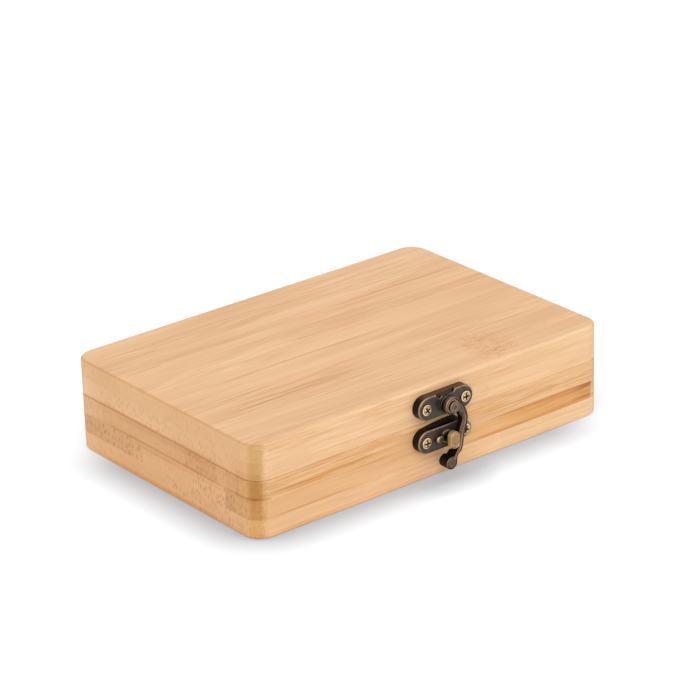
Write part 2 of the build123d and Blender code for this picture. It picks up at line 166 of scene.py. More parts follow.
class Graph:
    """Adds nodes and links to one node tree."""

    def __init__(self, tree: bpy.types.NodeTree) -> None:
        """Takes a tree and empties it."""
        self.tree = tree
        tree.nodes.clear()

    def node(
        self, kind: str, settings: dict[str, Any] | None = None, sockets: dict[Any, Any] | None = None
    ) -> Any:
        """Adds one node.

        Args:
            kind: the node's type.
            settings: its properties, set first; "stops" gives a colour ramp's places and colours.
            sockets: for an input's name, identifier or number, the number or socket it gets.

        Returns:
            The new node.
        """
        node = self.tree.nodes.new(kind)
        for name, value in (settings or {}).items():
            if name == "stops":
                self._set_stops(node.color_ramp, value)
            else:
                setattr(node, name, value)
        self.feed(node, sockets or {})
        return node

    def feed(self, node: Any, sockets: dict[Any, Any]) -> None:
        """Gives a node's inputs their numbers or links, by name, identifier or number."""
        for key, value in sockets.items():
            socket = self._input(node, key)
            source = value.socket if isinstance(value, Value) else value
            if isinstance(source, bpy.types.NodeSocket):
                self.tree.links.new(source, socket)
            else:
                socket.default_value = source

    @staticmethod
    def _set_stops(ramp: bpy.types.ColorRamp, stops: list[tuple[float, Colour]]) -> None:
        """Gives a colour ramp its places and colours."""
        while len(ramp.elements) < len(stops):
            ramp.elements.new(1.0)
        while len(ramp.elements) > len(stops):
            ramp.elements.remove(ramp.elements[-1])
        for element, (place, colour) in zip(ramp.elements, stops):
            element.position = place
            element.color = colour

    @staticmethod
    def _input(node: Any, key: Any) -> bpy.types.NodeSocket:
        """Finds an input of a node by its number, its identifier or its name."""
        if isinstance(key, int):
            return node.inputs[key]
        same_identifier = [s for s in node.inputs if s.identifier == key]
        same_name = [s for s in node.inputs if s.name == key and s.enabled]
        return (same_identifier or same_name)[0]

    def math(self, operation: str, first: Number, second: Number = 0.0, clamp: bool = False) -> Value:
        """Adds a Math node on two numbers or values and returns its result."""
        settings = {"operation": operation, "use_clamp": clamp}
        return Value(self, self.node("ShaderNodeMath", settings, {0: first, 1: second}).outputs[0])

    def vector(self, x: Number, y: Number, z: Number) -> bpy.types.NodeSocket:
        """A vector of three numbers or values."""
        return self.node("ShaderNodeCombineXYZ", None, {"X": x, "Y": y, "Z": z}).outputs[0]

    def parts(self, vector: bpy.types.NodeSocket) -> Place:
        """The three numbers of a vector."""
        node = self.node("ShaderNodeSeparateXYZ", None, {0: vector})
        return tuple(Value(self, s) for s in node.outputs[:3])

    def mix(self, share: Number, first: Any, second: Any, blend: str = "MIX") -> bpy.types.NodeSocket:
        """Mixes two colours.

        Args:
            share: how much of the second colour.
            first: the first colour, as numbers or a socket.
            second: the second colour, as numbers or a socket.
            blend: the Mix node's way of blending.

        Returns:
            The mixed colour's socket.
        """
        settings = {"data_type": "RGBA", "blend_type": blend, "clamp_factor": True}
        sockets = {"Factor_Float": share, "A_Color": first, "B_Color": second}
        node = self.node("ShaderNodeMix", settings, sockets)
        return next(s for s in node.outputs if s.identifier == "Result_Color")

    def tinted(self, share: Number, colour: Any, tint: Any) -> bpy.types.NodeSocket:
        """Multiplies a colour by a tint, as far as a share from 0 to 1 says."""
        return self.mix(share, colour, self.mix(1.0, colour, tint, "MULTIPLY"))

    def noise(self, where: bpy.types.NodeSocket, detail: float = 2.0, rough: float = 0.5) -> Value:
        """Noise around 0.5, read at a place."""
        sockets = {"Vector": where, "Scale": 1.0, "Detail": detail, "Roughness": rough}
        return Value(self, self.node("ShaderNodeTexNoise", None, sockets).outputs[0])

    def normal_parts(self) -> Place:
        """The three numbers of the surface's normal, in the piece's own axes."""
        return self.parts(self.node("ShaderNodeTexCoord").outputs["Normal"])

    def attribute(self, name: str) -> Value:
        """A number that the mesh carries on its points."""
        node = self.node("ShaderNodeAttribute", {"attribute_name": name})
        return Value(self, node.outputs["Fac"])

    def place_mm(self) -> bpy.types.NodeSocket:
        """The place on the piece in millimetres."""
        place = self.node("ShaderNodeTexCoord").outputs["Object"]
        scaled = self.node("ShaderNodeVectorMath", {"operation": "SCALE"}, {0: place, "Scale": 1 / MM})
        return scaled.outputs[0]

    def bump(self, height: Value, distance_mm: float, strength: float = 1.0) -> bpy.types.NodeSocket:
        """A normal that is bumped by a height from 0 to 1 over a distance."""
        sockets = {"Height": height, "Distance": distance_mm * MM, "Strength": strength}
        return self.node("ShaderNodeBump", None, sockets).outputs[0]


def new_material(name: str) -> tuple[bpy.types.Material, Graph, Any]:
    """Makes a material with one Principled shader.

    Args:
        name: the material's name.

    Returns:
        The material, the graph of its tree and the shader node.
    """
    material = bpy.data.materials.new(name)
    material.use_nodes = True
    graph = Graph(material.node_tree)
    shader = graph.node("ShaderNodeBsdfPrincipled")
    graph.node("ShaderNodeOutputMaterial", None, {"Surface": shader.outputs[0]})
    return material, graph, shader


def dress(piece: bpy.types.Object, material: bpy.types.Material) -> None:
    """Gives every material slot of a piece one material."""
    if not piece.material_slots:
        piece.data.materials.append(material)
    for slot in piece.material_slots:
        slot.material = material


# ---- wood ----
@dataclass(frozen=True)
class Strip:
    """One bamboo strip of a board, running the box's whole length.

    Args:
        start_mm: the strip's front edge, from the middle of the box towards the back.
        shade: factor on the board's colour.
        warmth: how far its colour leans to orange, -1 to 1.
        fibres: how plainly the fibres show on its ends.
    """

    start_mm: float
    shade: float = 1.0
    warmth: float = 0.0
    fibres: float = 0.5


@dataclass(frozen=True)
class Patch:
    """A soft-edged tint on part of a board.

    Args:
        centre_mm: its middle.
        reach_mm: how far it goes from the middle along X, Y and Z.
        colour: the colour that the wood is multiplied by at full strength.
        grain: how much the wood's streaks break it up, from 0 to 1.
        lead_mm: over what length it grows from its left end, along X.
    """

    centre_mm: tuple[float, float, float]
    reach_mm: tuple[float, float, float]
    colour: Colour
    grain: float
    lead_mm: float = 0.0

    LONG_MM = 15.0  # a side that reaches this far fades slowly
    SLOW_SHARE = 0.6  # the share of a slow side over which it fades
    QUICK_SHARE = 0.25  # that share of a quick side
    QUICK_MM = 1.0  # the most that a quick side takes to fade

    def edge_mm(self, reach_mm: float) -> float:
        """Over what length a side fades out: slowly if it is long, unless the tint has a lead."""
        if reach_mm >= self.LONG_MM and not self.lead_mm:
            return self.SLOW_SHARE * reach_mm
        return min(self.QUICK_MM, self.QUICK_SHARE * reach_mm)

    @classmethod
    def front(
        cls,
        place_mm: tuple[float, float],
        reach_mm: tuple[float, float],
        colour: Colour,
        grain: float,
        lead_mm: float = 0.0,
        deep_mm: float = 1.5,
    ) -> "Patch":
        """A tint on the front.

        Args:
            place_mm: its middle along X and Z.
            reach_mm: how far it goes along X and Z.
            colour: the colour that the wood is multiplied by.
            grain: how much the streaks break it up.
            lead_mm: over what length it grows from its left end.
            deep_mm: how far it goes back into the wood, which counts on the rounded corners.

        Returns:
            The tint.
        """
        (x, z), (wide, high) = place_mm, reach_mm
        return cls((x, FRONT_MM, z), (wide, deep_mm, high), colour, grain, lead_mm)

    @classmethod
    def end(
        cls,
        place_mm: tuple[float, float],
        reach_mm: tuple[float, float],
        colour: Colour,
        grain: float,
        deep_mm: float = 6.0,
    ) -> "Patch":
        """A tint on the left end.

        Args:
            place_mm: its middle along Y and Z.
            reach_mm: how far it goes along Y and Z.
            colour: the colour that the wood is multiplied by.
            grain: how much the streaks break it up.
            deep_mm: how far it goes into the wood, which counts on the rounded corners.

        Returns:
            The tint.
        """
        (y, z), (wide, high) = place_mm, reach_mm
        return cls((LEFT_MM, y, z), (deep_mm, wide, high), colour, grain)

    @classmethod
    def top(
        cls,
        place_mm: tuple[float, float],
        reach_mm: tuple[float, float],
        colour: Colour,
        grain: float,
        deep_mm: float = 5.0,
    ) -> "Patch":
        """A tint on the lid's top.

        Args:
            place_mm: its middle along X and Y.
            reach_mm: how far it goes along X and Y.
            colour: the colour that the wood is multiplied by.
            grain: how much the streaks break it up.
            deep_mm: how far it goes down into the wood, which counts on the rounded edges.

        Returns:
            The tint.
        """
        (x, y), (long, wide) = place_mm, reach_mm
        return cls((x, y, TOP_MM), (long, wide, deep_mm), colour, grain)


@dataclass(frozen=True)
class CulmNode:
    """The scar of a culm's node across one strip, with its fan of broken fibres.

    Args:
        centre_mm: the scar's middle.
        reach_mm: how far it goes along X, Y and Z.
        strength: how dark it is, from 0 to 1.
    """

    centre_mm: tuple[float, float, float]
    reach_mm: tuple[float, float, float]
    strength: float = 1.0


@dataclass(frozen=True)
class BambooFinish:
    """Satin bamboo with lengthwise fibres, strip by strip.

    Args:
        name: the material's name.
        strips: the board's strips from the front to the back.
        pale: the wood between its streaks.
        deep: the streaks.
        fibre: the dots of cut fibre bundles.
        scar: the factor on the colour of a culm node's scar.
        end: the factor on the colour of cut ends.
        slant: the factor where a left rounded corner cuts the fibres at a slant, partly painted shade.
        rim: the factor on the rounding between the top and an end.
        lit: a painted tint that tones down the highlight on the rounding between the top and a long side.
        streaks: how strong the streaks are.
        seed: moves the grain, so that no two boards are alike.
        patches: tints on parts of the board.
        nodes: culm nodes on the board.
    """

    name: str
    strips: tuple[Strip, ...]
    pale: Colour = tone(240, 197, 151)
    deep: Colour = tone(216, 160, 108)
    fibre: Colour = tone(188, 122, 66)
    scar: Colour = tone(236, 202, 160)
    end: Colour = factor(1.01, 0.98, 0.91)
    slant: Colour = factor(0.80, 0.70, 0.50)
    rim: Colour = factor(0.86, 0.80, 0.70)
    lit: Colour = factor(0.955, 0.975, 1.01)
    streaks: float = 1.0
    seed: float = 0.0
    patches: tuple[Patch, ...] = ()
    nodes: tuple[CulmNode, ...] = ()

    STRIP_JUMP_MM = 23.7  # how far the grain jumps from a strip to the next
    WARM_LOSS = (0.0, 0.05, 0.12)  # how much of its red, green and blue a warm strip loses
    BROAD_MM = (130.0, 6.5)  # the length and the width of the broad streaks
    MEDIUM_MM = (46.0, 1.7)  # those of the medium streaks
    FINE_MM = (20.0, 0.62)  # those of the fine streaks
    DASH_MM = (7.0, 0.5)  # those of the short dashes in calm wood
    BUNDLE_MM = (60.0, 1.35, 3.6)  # a fibre bundle's length, its width and its height
    BUNDLE_LEAN = 0.22  # how far the bundles' rows lean

    def material(self) -> bpy.types.Material:
        """Builds the wood's material."""
        material, graph, shader = new_material(self.name)
        place = graph.place_mm()
        x, y, z = graph.parts(place)
        shift = self._strip_shift(y)
        sway = graph.noise(graph.vector(x * 0.011, y * 0.03, z * 0.03 + self.seed), detail=1.0) - 0.5
        across = y + shift + sway * 3.0
        upward = z + self.seed + sway * 1.5

        fibre = (x, across, upward)
        broad = self._streak(graph, fibre, self.BROAD_MM)
        medium = self._streak(graph, fibre, self.MEDIUM_MM)
        fine = self._streak(graph, fibre, self.FINE_MM)
        calm = graph.noise(graph.vector(x * 0.013, across * 0.075, upward * 0.09)).step(0.36, 0.64)
        dashes = self._streak(graph, fibre, self.DASH_MM).step(0.58, 0.72)
        drift = graph.noise(graph.vector(x * 0.012, across * 0.05, upward * 0.05))
        cut = self._cut_end(graph)
        along = 1 - cut * 0.75
        depth = (broad - 0.5) * 0.9 + (medium - 0.5) * (0.35 + calm * 0.9) + (drift - 0.5) * 0.8
        depth = depth + (fine - 0.5) * (0.25 + calm * 1.3) + dashes * calm * 0.35
        depth = (depth * along * self.streaks + 0.40).clamped()
        colour = graph.mix(depth, self.pale, self.deep)
        colour = graph.mix(1.0, colour, self._strip_shade(graph, y), "MULTIPLY")

        colour = graph.tinted(cut, colour, self.end)
        for patch in self.patches:
            colour = self._patched(graph, colour, patch, (x, y, z), medium)
        colour = graph.tinted(self._slant(graph), colour, self.slant)
        colour, pores = self._fibre_ends(graph, colour, (x, y, z), cut)
        for node in self.nodes:
            colour = self._scarred(graph, colour, node, (x, y, z))
        colour = graph.tinted(self._end_rim(graph), colour, self.rim)
        # painted light: a tint that tones down the highlight on the long roundings
        colour = graph.tinted(self._long_rim(graph), colour, self.lit)

        height = (1 - depth) * 0.6 + fine * 0.4 - pores * 0.7
        graph.feed(shader, {
            "Base Color": colour,
            "Roughness": 0.48 - depth * 0.06 + pores * 0.12,
            "Specular IOR Level": 0.42,
            "Normal": graph.bump(height, 0.02, 0.5),
        })
        return material

    def _strip_shift(self, y: Value) -> Number:
        """A jump of the grain from each strip to the next."""
        shift: Number = self.seed
        for strip in self.strips[1:]:
            shift = (y > strip.start_mm) * self.STRIP_JUMP_MM + shift
        return shift

    def _strip_shade(self, graph: Graph, y: Value) -> bpy.types.NodeSocket:
        """The colour factor of the strip at a depth in the box."""
        stops = []
        for strip in self.strips:
            shades = (strip.shade * (1.0 - loss * strip.warmth) for loss in self.WARM_LOSS)
            stops.append((self._place(strip), factor(*shades)))
        return self._stepped(graph, y, stops)

    def _strip_fibres(self, graph: Graph, y: Value) -> Value:
        """How plainly the strip at a depth in the box shows its fibre ends."""
        stops = [(self._place(s), factor(s.fibres, s.fibres, s.fibres)) for s in self.strips]
        return Value(graph, self._stepped(graph, y, stops))

    @staticmethod
    def _stepped(graph: Graph, y: Value, stops: list[tuple[float, Colour]]) -> bpy.types.NodeSocket:
        """A colour that changes at once from each place in the box's depth to the next."""
        node = graph.node("ShaderNodeValToRGB", {"stops": stops}, {"Fac": y / BOX_DEPTH_MM + 0.5})
        node.color_ramp.interpolation = "CONSTANT"
        return node.outputs["Color"]

    @staticmethod
    def _place(strip: Strip) -> float:
        """A strip's front edge as a share of the box's depth, from the front."""
        return min(1.0, max(0.0, strip.start_mm / BOX_DEPTH_MM + 0.5))

    @staticmethod
    def _streak(graph: Graph, fibre: Place, size_mm: tuple[float, float]) -> Value:
        """Noise drawn out along the fibres.

        Args:
            graph: the material's graph.
            fibre: the place along the fibres, across them and upwards, in millimetres.
            size_mm: a streak's length and its width.

        Returns:
            The noise, around 0.5.
        """
        x, across, upward = fibre
        length, width = size_mm
        return graph.noise(graph.vector(x / length, across / width, upward / width), detail=1.5)

    @staticmethod
    def _cut_end(graph: Graph) -> Value:
        """1 on the ends of the box, where the fibres are cut across, and 0 along them."""
        return abs(graph.normal_parts()[0]).step(0.35, 0.85)

    @staticmethod
    def _slant(graph: Graph) -> Value:
        """1 where a left corner's rounding cuts the fibres at a slant; keeping it to the left is painted
        shade.
        """
        across, forward, _ = graph.normal_parts()
        return (0 - across).step(0.18, 0.62) * abs(forward).step(0.18, 0.60)

    @staticmethod
    def _end_rim(graph: Graph) -> Value:
        """1 on the rounding between the top and the ends."""
        across, _, upward = graph.normal_parts()
        return abs(across).step(0.15, 0.5) * abs(upward).step(0.15, 0.5)

    @staticmethod
    def _long_rim(graph: Graph) -> Value:
        """1 on the rounding between the top and the long sides."""
        _, forward, upward = graph.normal_parts()
        return abs(forward).step(0.25, 0.6) * upward.step(0.25, 0.6)

    def _fibre_ends(self, graph: Graph, colour: Any, place: Place, cut: Value) -> tuple[Any, Value]:
        """Draws the fibre bundles that show as dots on cut ends.

        Args:
            graph: the material's graph.
            colour: the wood's colour so far.
            place: the place on the piece, in millimetres.
            cut: where the ends are.

        Returns:
            The colour with the dots and the dots themselves.
        """
        x, y, z = place
        length, width, height = self.BUNDLE_MM
        leaning = (y - x) / width + z * self.BUNDLE_LEAN
        cells = graph.node(
            "ShaderNodeTexVoronoi",
            {"voronoi_dimensions": "3D"},
            {"Vector": graph.vector(x / length, leaning, z / height), "Scale": 1.0, "Randomness": 0.75},
        )
        dots = Value(graph, cells.outputs["Distance"]).step(0.46, 0.20)
        spread = graph.noise(graph.vector(x * 0.02, y * 0.16, z * 0.25 + self.seed)).step(0.38, 0.62)
        shown = graph.math("MAXIMUM", cut, self._slant(graph) * 0.9)
        pores = dots * shown * self._strip_fibres(graph, y) * (0.55 + spread * 0.45)
        return graph.mix((pores * 0.78).clamped(), colour, self.fibre), pores

    @staticmethod
    def _patched(
        graph: Graph, colour: Any, patch: Patch, place: Place, streak: Value
    ) -> bpy.types.NodeSocket:
        """Tints part of the wood.

        Args:
            graph: the material's graph.
            colour: the wood's colour so far.
            patch: the tint and its place.
            place: the place on the piece, in millimetres.
            streak: the streaks that break up the tint.

        Returns:
            The tinted colour.
        """
        mask: Number = 1.0
        for part, centre, reach in zip(place, patch.centre_mm, patch.reach_mm):
            mask = abs(part - centre).step(reach, reach - patch.edge_mm(reach)) * mask
        if patch.lead_mm:
            start = patch.centre_mm[0] - patch.reach_mm[0]
            mask = place[0].step(start, start + patch.lead_mm) * mask
        broken = mask * (1 - patch.grain + streak.step(0.40, 0.60) * patch.grain)
        return graph.tinted(broken, colour, patch.colour)

    def _scarred(self, graph: Graph, colour: Any, node: CulmNode, place: Place) -> bpy.types.NodeSocket:
        """Draws a culm node's scar.

        Args:
            graph: the material's graph.
            colour: the wood's colour so far.
            node: the scar.
            place: the place on the piece, in millimetres.

        Returns:
            The colour with the scar.
        """
        x, y, z = place
        along, back, up = (
            (part - centre) / reach
            for part, centre, reach in zip(place, node.centre_mm, node.reach_mm)
        )
        wander = graph.noise(graph.vector(x * 0.18, y * 0.18, z * 0.18 + self.seed)) - 0.5
        lengthwise = along + back * back * 0.5 + wander * 0.9
        mask = (1 - lengthwise * lengthwise - back * back - up * up).step(0.0, 0.9)
        fan = y + (x - node.centre_mm[0]) * back * 0.35
        broken = graph.noise(graph.vector(x * 0.28, fan * 0.85, z * 0.85), detail=3.0, rough=0.6)
        arcs = graph.math("SINE", lengthwise * 11.0 + wander * 8.0).step(0.2, 1.0)
        dark = mask * (broken.step(0.44, 0.64) * (0.55 + arcs * 0.45) + 0.18) * node.strength
        return graph.tinted(dark, colour, self.scar)


# ---- metal ----
@dataclass(frozen=True)
class AntiqueBronze:
    """Bronze with a dark antique coat, thinned on its fronts and bare on its edges, with painted light and
    shade.

    Args:
        name: the material's name.
        coat: the coat on side walls, whose tone also paints their light and shade.
        rubbed_and_lit: the coat where handling thins it on the fronts, partly a painted highlight there.
        bare: the metal on edges bared by wear, and a painted highlight on edges that face up and left.
        painted_shade: the painted shade in hollows and round the screws.
        set_back_sheen: the painted sheen on set-back faces that do not face left.
        wear: how much of the edges is bare, from 0 to 1.
        shine: how much smoother the bare metal is.
    """

    name: str
    coat: Colour = tone(30, 18, 12)
    rubbed_and_lit: Colour = tone(86, 73, 67)
    bare: Colour = tone(194, 162, 128)
    painted_shade: Colour = tone(26, 17, 12)
    set_back_sheen: Colour = tone(94, 70, 50)
    wear: float = 0.5
    shine: float = 0.16

    def material(self) -> bpy.types.Material:
        """Builds the metal's material, which reads the marks of the casting."""
        material, graph, shader = new_material(self.name)
        x, y, z = graph.parts(graph.place_mm())
        edge, rub_and_light, shade_mask, dull = (graph.attribute(name) for name in ("edge", "rub_and_light", "shade_mask", "dull"))
        across, _, upward = graph.normal_parts()
        blotches = graph.noise(graph.vector(x * 0.9, y * 0.9, z * 0.9), detail=3.0, rough=0.6)
        brushed = graph.noise(graph.vector(x * 5.0, y * 5.0, z * 0.7), detail=2.0)
        grit = graph.noise(graph.vector(x * 6.0, y * 6.0, z * 6.0), detail=2.0)

        # the coat thins on the fronts, partly painted light; side walls keep a coat whose tone paints their
        # light and shade
        rub_light_share = rub_and_light.step(0.30, 1.0) * (0.25 + blotches * 1.15 + (brushed - 0.5) * 0.9)
        colour = graph.mix(rub_light_share.clamped(), self.coat, self.rubbed_and_lit)
        # painted sheen: set-back faces show lighter where they do not face left
        painted_sheen = dull * (1 + across * 1.6).clamped() * (0.6 + blotches * 0.5)
        colour = graph.mix(painted_sheen, colour, self.set_back_sheen)
        # painted highlight: bare edges show mostly where they face up and left
        upper_left_highlight = (0.50 + upward * 0.9 - across * 0.75).clamped()
        ragged = edge + (blotches - 0.5) * 0.24 + (grit - 0.5) * 0.06
        wear_and_highlight = ragged.step(0.92 - 0.4 * self.wear, 1.10 - 0.3 * self.wear) * (0.15 + rub_and_light * 0.85)
        wear_and_highlight = wear_and_highlight * (1 - shade_mask) * (1 - dull) * (0.12 + upper_left_highlight * 0.88)
        colour = graph.mix(wear_and_highlight, colour, self.bare)
        # painted shade round the screws and behind the set-back layers
        colour = graph.mix(shade_mask, colour, self.painted_shade)
        graph.feed(shader, {
            "Base Color": colour,
            "Metallic": 0.72 + wear_and_highlight * 0.25,
            "Roughness": 0.46 - wear_and_highlight * self.shine + (grit - 0.5) * 0.12,
            "Normal": graph.bump(grit * 0.6 + brushed * 0.4, 0.03, 0.45),
        })
        return material


@dataclass(frozen=True)
class ScrewBrass:
    """Brass screw heads with a dark cross recess.

    Args:
        name: the material's name.
        bright: the brass.
        dull: the brass where it is tarnished.
        recess: what fills the recess.
    """

    name: str
    bright: Colour = tone(244, 218, 168)
    dull: Colour = tone(184, 148, 94)
    # recess: the colour of the recess's faces.
    recess: Colour = tone(110, 76, 46)

    def material(self) -> bpy.types.Material:
        """Builds the screws' material, which reads the piece's "recess"."""
        material, graph, shader = new_material(self.name)
        x, y, z = graph.parts(graph.place_mm())
        recess = graph.attribute("recess")
        tarnish = graph.noise(graph.vector(x * 1.1, y * 1.1, z * 1.1), detail=3.0, rough=0.6).step(0.40, 0.66)
        grit = graph.noise(graph.vector(x * 7.0, y * 7.0, z * 7.0), detail=2.0)
        colour = graph.mix(tarnish * 0.6, self.bright, self.dull)
        colour = graph.mix(recess, colour, self.recess)
        graph.feed(shader, {
            "Base Color": colour,
            "Metallic": 0.95 - recess * 0.5,
            "Roughness": 0.34 + tarnish * 0.14 + recess * 0.3,
            "Normal": graph.bump(grit, 0.02, 0.3),
        })
        return material


def loose_object(name: str, mesh: bpy.types.Mesh) -> bpy.types.Object:
    """Links a new object for a mesh at the origin."""
    piece = bpy.data.objects.new(name, mesh)
    bpy.context.scene.collection.objects.link(piece)
    return piece


def applied(piece: bpy.types.Object) -> bpy.types.Mesh:
    """The mesh that a piece's modifiers make, as plain data."""
    evaluated = piece.evaluated_get(bpy.context.evaluated_depsgraph_get())
    return bpy.data.meshes.new_from_object(evaluated)


def points_of(mesh: bpy.types.Mesh) -> np.ndarray:
    """The places of a mesh's points, one row each."""
    places = np.empty(len(mesh.vertices) * 3)
    mesh.vertices.foreach_get("co", places)
    return places.reshape(-1, 3)


def normals_of(mesh: bpy.types.Mesh) -> np.ndarray:
    """The normals of a mesh's points, one row each."""
    normals = np.empty(len(mesh.vertices) * 3)
    mesh.vertex_normals.foreach_get("vector", normals)
    return normals.reshape(-1, 3)


@dataclass
class Casting:
    """A metal piece worked up from its solid: softened, crowned and marked for wear and painted light and
    shade.

    Args:
        node: the solid it stands for, whose name it takes with an ending.
        body: the body it moves with.
        slot: the record's material slot; not used.
        finish: its material.
        front: the way its shown side faces, along Y.
        shaded_behind_mm: the Y behind which the shown side gets painted shade.
        set_back_mm: the span of Y in which a sheen is painted and edges show no wear.
        screw_shade_mm: the X and Z of the screws round which shade is painted.
        screw_shade_radius_mm: how far from their middles that painted shade reaches.
        round_end_mm: the X, Y, Z and radius of a round end whose walls get painted light in front of that Y.
        voxel_mm: the fineness of the worked mesh.
        softness: how many times it is smoothed.
        crown_mm: how far the shown side falls away at its outline.
        crown_width_mm: how far in from the outline that begins.
    """

    node: str
    body: str
    slot: str
    finish: bpy.types.Material
    front: float = -1.0
    shaded_behind_mm: float | None = None
    set_back_mm: tuple[float, float] | None = None
    screw_shade_mm: tuple[tuple[float, float], ...] = ()
    screw_shade_radius_mm: float = 2.75
    round_end_mm: tuple[float, float, float, float] | None = None
    voxel_mm: float = 0.14
    softness: int = 5
    crown_mm: float = 0.0
    crown_width_mm: float = 1.2

    WELD_MM = 0.001
    PULLS = (0.55, -0.38)  # how far a smoothed point moves to its neighbours, then away again
    CROWN_SOFTNESS = 2  # how many times a crowned side is smoothed
    EDGE_GAIN = 13.0  # how strongly a bend of the surface counts as an edge
    EDGE_SPREAD = 18  # how many rounds of neighbours an edge spreads to
    RUB_SPREAD = 4  # how many rounds the marks of handling and painted light spread to
    SCREW_SHADE_FADE_MM = 0.35  # over what length the painted shade round a screw fades
    SPAN_FADE_MM = 0.3  # over what length a span of Y fades at its ends
    WALL_FADE_MM = 0.8  # over what length the painted light on a round end's wall grows
    WALL_LIGHT = 0.8  # the most painted light that such a wall gets

    def build(self) -> bpy.types.Object:
        """Makes the piece, dresses it and hands it to the frame."""
        mesh = self._fine_mesh()
        places = points_of(mesh)
        ends = self._ends(mesh)
        places = self._smoothed(places, ends, self.softness)
        if self.crown_mm:
            places = self._crowned(mesh, places)
            places = self._smoothed(places, ends, self.CROWN_SOFTNESS)
        places = np.clip(places, *box_mm(self.node))
        self._store(mesh, places)
        self._mark(mesh, places, ends)
        self._store(mesh, places * MM)
        mesh.shade_smooth()
        piece = loose_object(self.node + "_worked", mesh)
        dress(piece, self.finish)
        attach(piece, self.body)
        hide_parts(self.node)
        log.info("%s: %d faces", piece.name, len(mesh.polygons))
        return piece

    def _fine_mesh(self) -> bpy.types.Mesh:
        """An even mesh of small faces over the solid, in millimetres."""
        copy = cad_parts[self.node].data.copy()
        copy.transform(Matrix.Scale(1 / MM, 4))
        rough = loose_object(self.node + "_rough", copy)
        weld = rough.modifiers.new("weld", "WELD")
        weld.merge_threshold = self.WELD_MM
        remesh = rough.modifiers.new("remesh", "REMESH")
        remesh.mode = "VOXEL"
        remesh.voxel_size = self.voxel_mm
        mesh = applied(rough)
        bpy.data.objects.remove(rough)
        mesh.materials.clear()
        return mesh

    @staticmethod
    def _ends(mesh: bpy.types.Mesh) -> np.ndarray:
        """The two points of each edge."""
        ends = np.empty(len(mesh.edges) * 2, dtype=np.int64)
        mesh.edges.foreach_get("vertices", ends)
        return ends.reshape(-1, 2)

    @staticmethod
    def _store(mesh: bpy.types.Mesh, places: np.ndarray) -> None:
        """Puts a mesh's points in place."""
        mesh.vertices.foreach_set("co", places.astype(np.float32).ravel())
        mesh.update()

    @staticmethod
    def _neighbour_mean(values: np.ndarray, ends: np.ndarray) -> np.ndarray:
        """The mean of each point's neighbours, for one or more numbers a point."""
        total = np.zeros_like(values)
        count = np.zeros(len(values))
        for here, there in ((0, 1), (1, 0)):
            np.add.at(total, ends[:, here], values[ends[:, there]])
            np.add.at(count, ends[:, here], 1)
        return total / (count[:, None] if values.ndim > 1 else count)

    def _smoothed(self, places: np.ndarray, ends: np.ndarray, times: int) -> np.ndarray:
        """Softens the shape while keeping its volume.

        Args:
            places: the points.
            ends: the two points of each edge.
            times: how many rounds to smooth.

        Returns:
            The smoothed points.
        """
        for _ in range(times):
            for pull in self.PULLS:
                places = places + pull * (self._neighbour_mean(places, ends) - places)
        return places

    def _crowned(self, mesh: bpy.types.Mesh, places: np.ndarray) -> np.ndarray:
        """Lets the shown side fall away towards its outline.

        Args:
            mesh: the piece's mesh.
            places: its points.

        Returns:
            The points with the shown side crowned.
        """
        self._store(mesh, places)
        normals = normals_of(mesh)
        walls = places[np.abs(normals[:, 1]) < 0.4]
        tree = KDTree(len(walls))
        for index, place in enumerate(walls):
            tree.insert(place, index)
        tree.balance()
        shown = np.nonzero(normals[:, 1] * self.front > 0.8)[0]
        crowned = places.copy()
        for index in shown:
            distance = tree.find(places[index])[2]
            fall = max(0.0, 1 - distance / self.crown_width_mm) ** 2
            crowned[index, 1] -= self.front * self.crown_mm * fall
        return crowned

    def _mark(self, mesh: bpy.types.Mesh, places: np.ndarray, ends: np.ndarray) -> None:
        """Marks each point: how sharp its edge is, how far handling and painted light reach it, and where
        painted shade and sheen go.

        Args:
            mesh: the piece's mesh, with its points in place.
            places: those points.
            ends: the two points of each edge.
        """
        normals = normals_of(mesh)
        bend = ((places - self._neighbour_mean(places, ends)) * normals).sum(1) / self.voxel_mm
        # faces turned to the front count as handled and, partly, as painted light
        rub_and_light = np.clip(normals[:, 1] * self.front, 0.0, 1.0)
        # shade is painted behind a Y and round the screws
        shade_mask = self._between(places, (self.shaded_behind_mm, 0.0) if self.shaded_behind_mm else None)
        # the span of Y where a sheen is painted and edges stay unworn
        dull = self._between(places, self.set_back_mm)
        for x, z in self.screw_shade_mm:
            distance = np.hypot(places[:, 0] - x, places[:, 2] - z)
            ring_shade = np.clip((self.screw_shade_radius_mm - distance) / self.SCREW_SHADE_FADE_MM, 0.0, 1.0)
            shade_mask = np.maximum(shade_mask, ring_shade)
        # painted light on the wall of a round end
        if self.round_end_mm:
            x, y, z, radius = self.round_end_mm
            inside = np.hypot(places[:, 0] - x, places[:, 2] - z) < radius
            wall = np.clip((y - places[:, 1]) / self.WALL_FADE_MM, 0.0, self.WALL_LIGHT)
            rub_and_light = np.maximum(rub_and_light, inside * wall)
        bend = self._spread(bend, ends, self.EDGE_SPREAD)
        rub_and_light = self._spread(rub_and_light, ends, self.RUB_SPREAD)
        edge = np.clip(0.5 + self.EDGE_GAIN * bend, 0.0, 1.0)
        for name, values in (("edge", edge), ("rub_and_light", rub_and_light), ("shade_mask", shade_mask), ("dull", dull)):
            layer = mesh.attributes.new(name, "FLOAT", "POINT")
            layer.data.foreach_set("value", values.astype(np.float32))

    def _spread(self, values: np.ndarray, ends: np.ndarray, times: int) -> np.ndarray:
        """Evens out a mark over neighbouring points.

        Args:
            values: the mark, one number a point.
            ends: the two points of each edge.
            times: how many rounds of neighbours it spreads to.

        Returns:
            The spread mark.
        """
        for _ in range(times):
            values = 0.5 * values + 0.5 * self._neighbour_mean(values, ends)
        return values

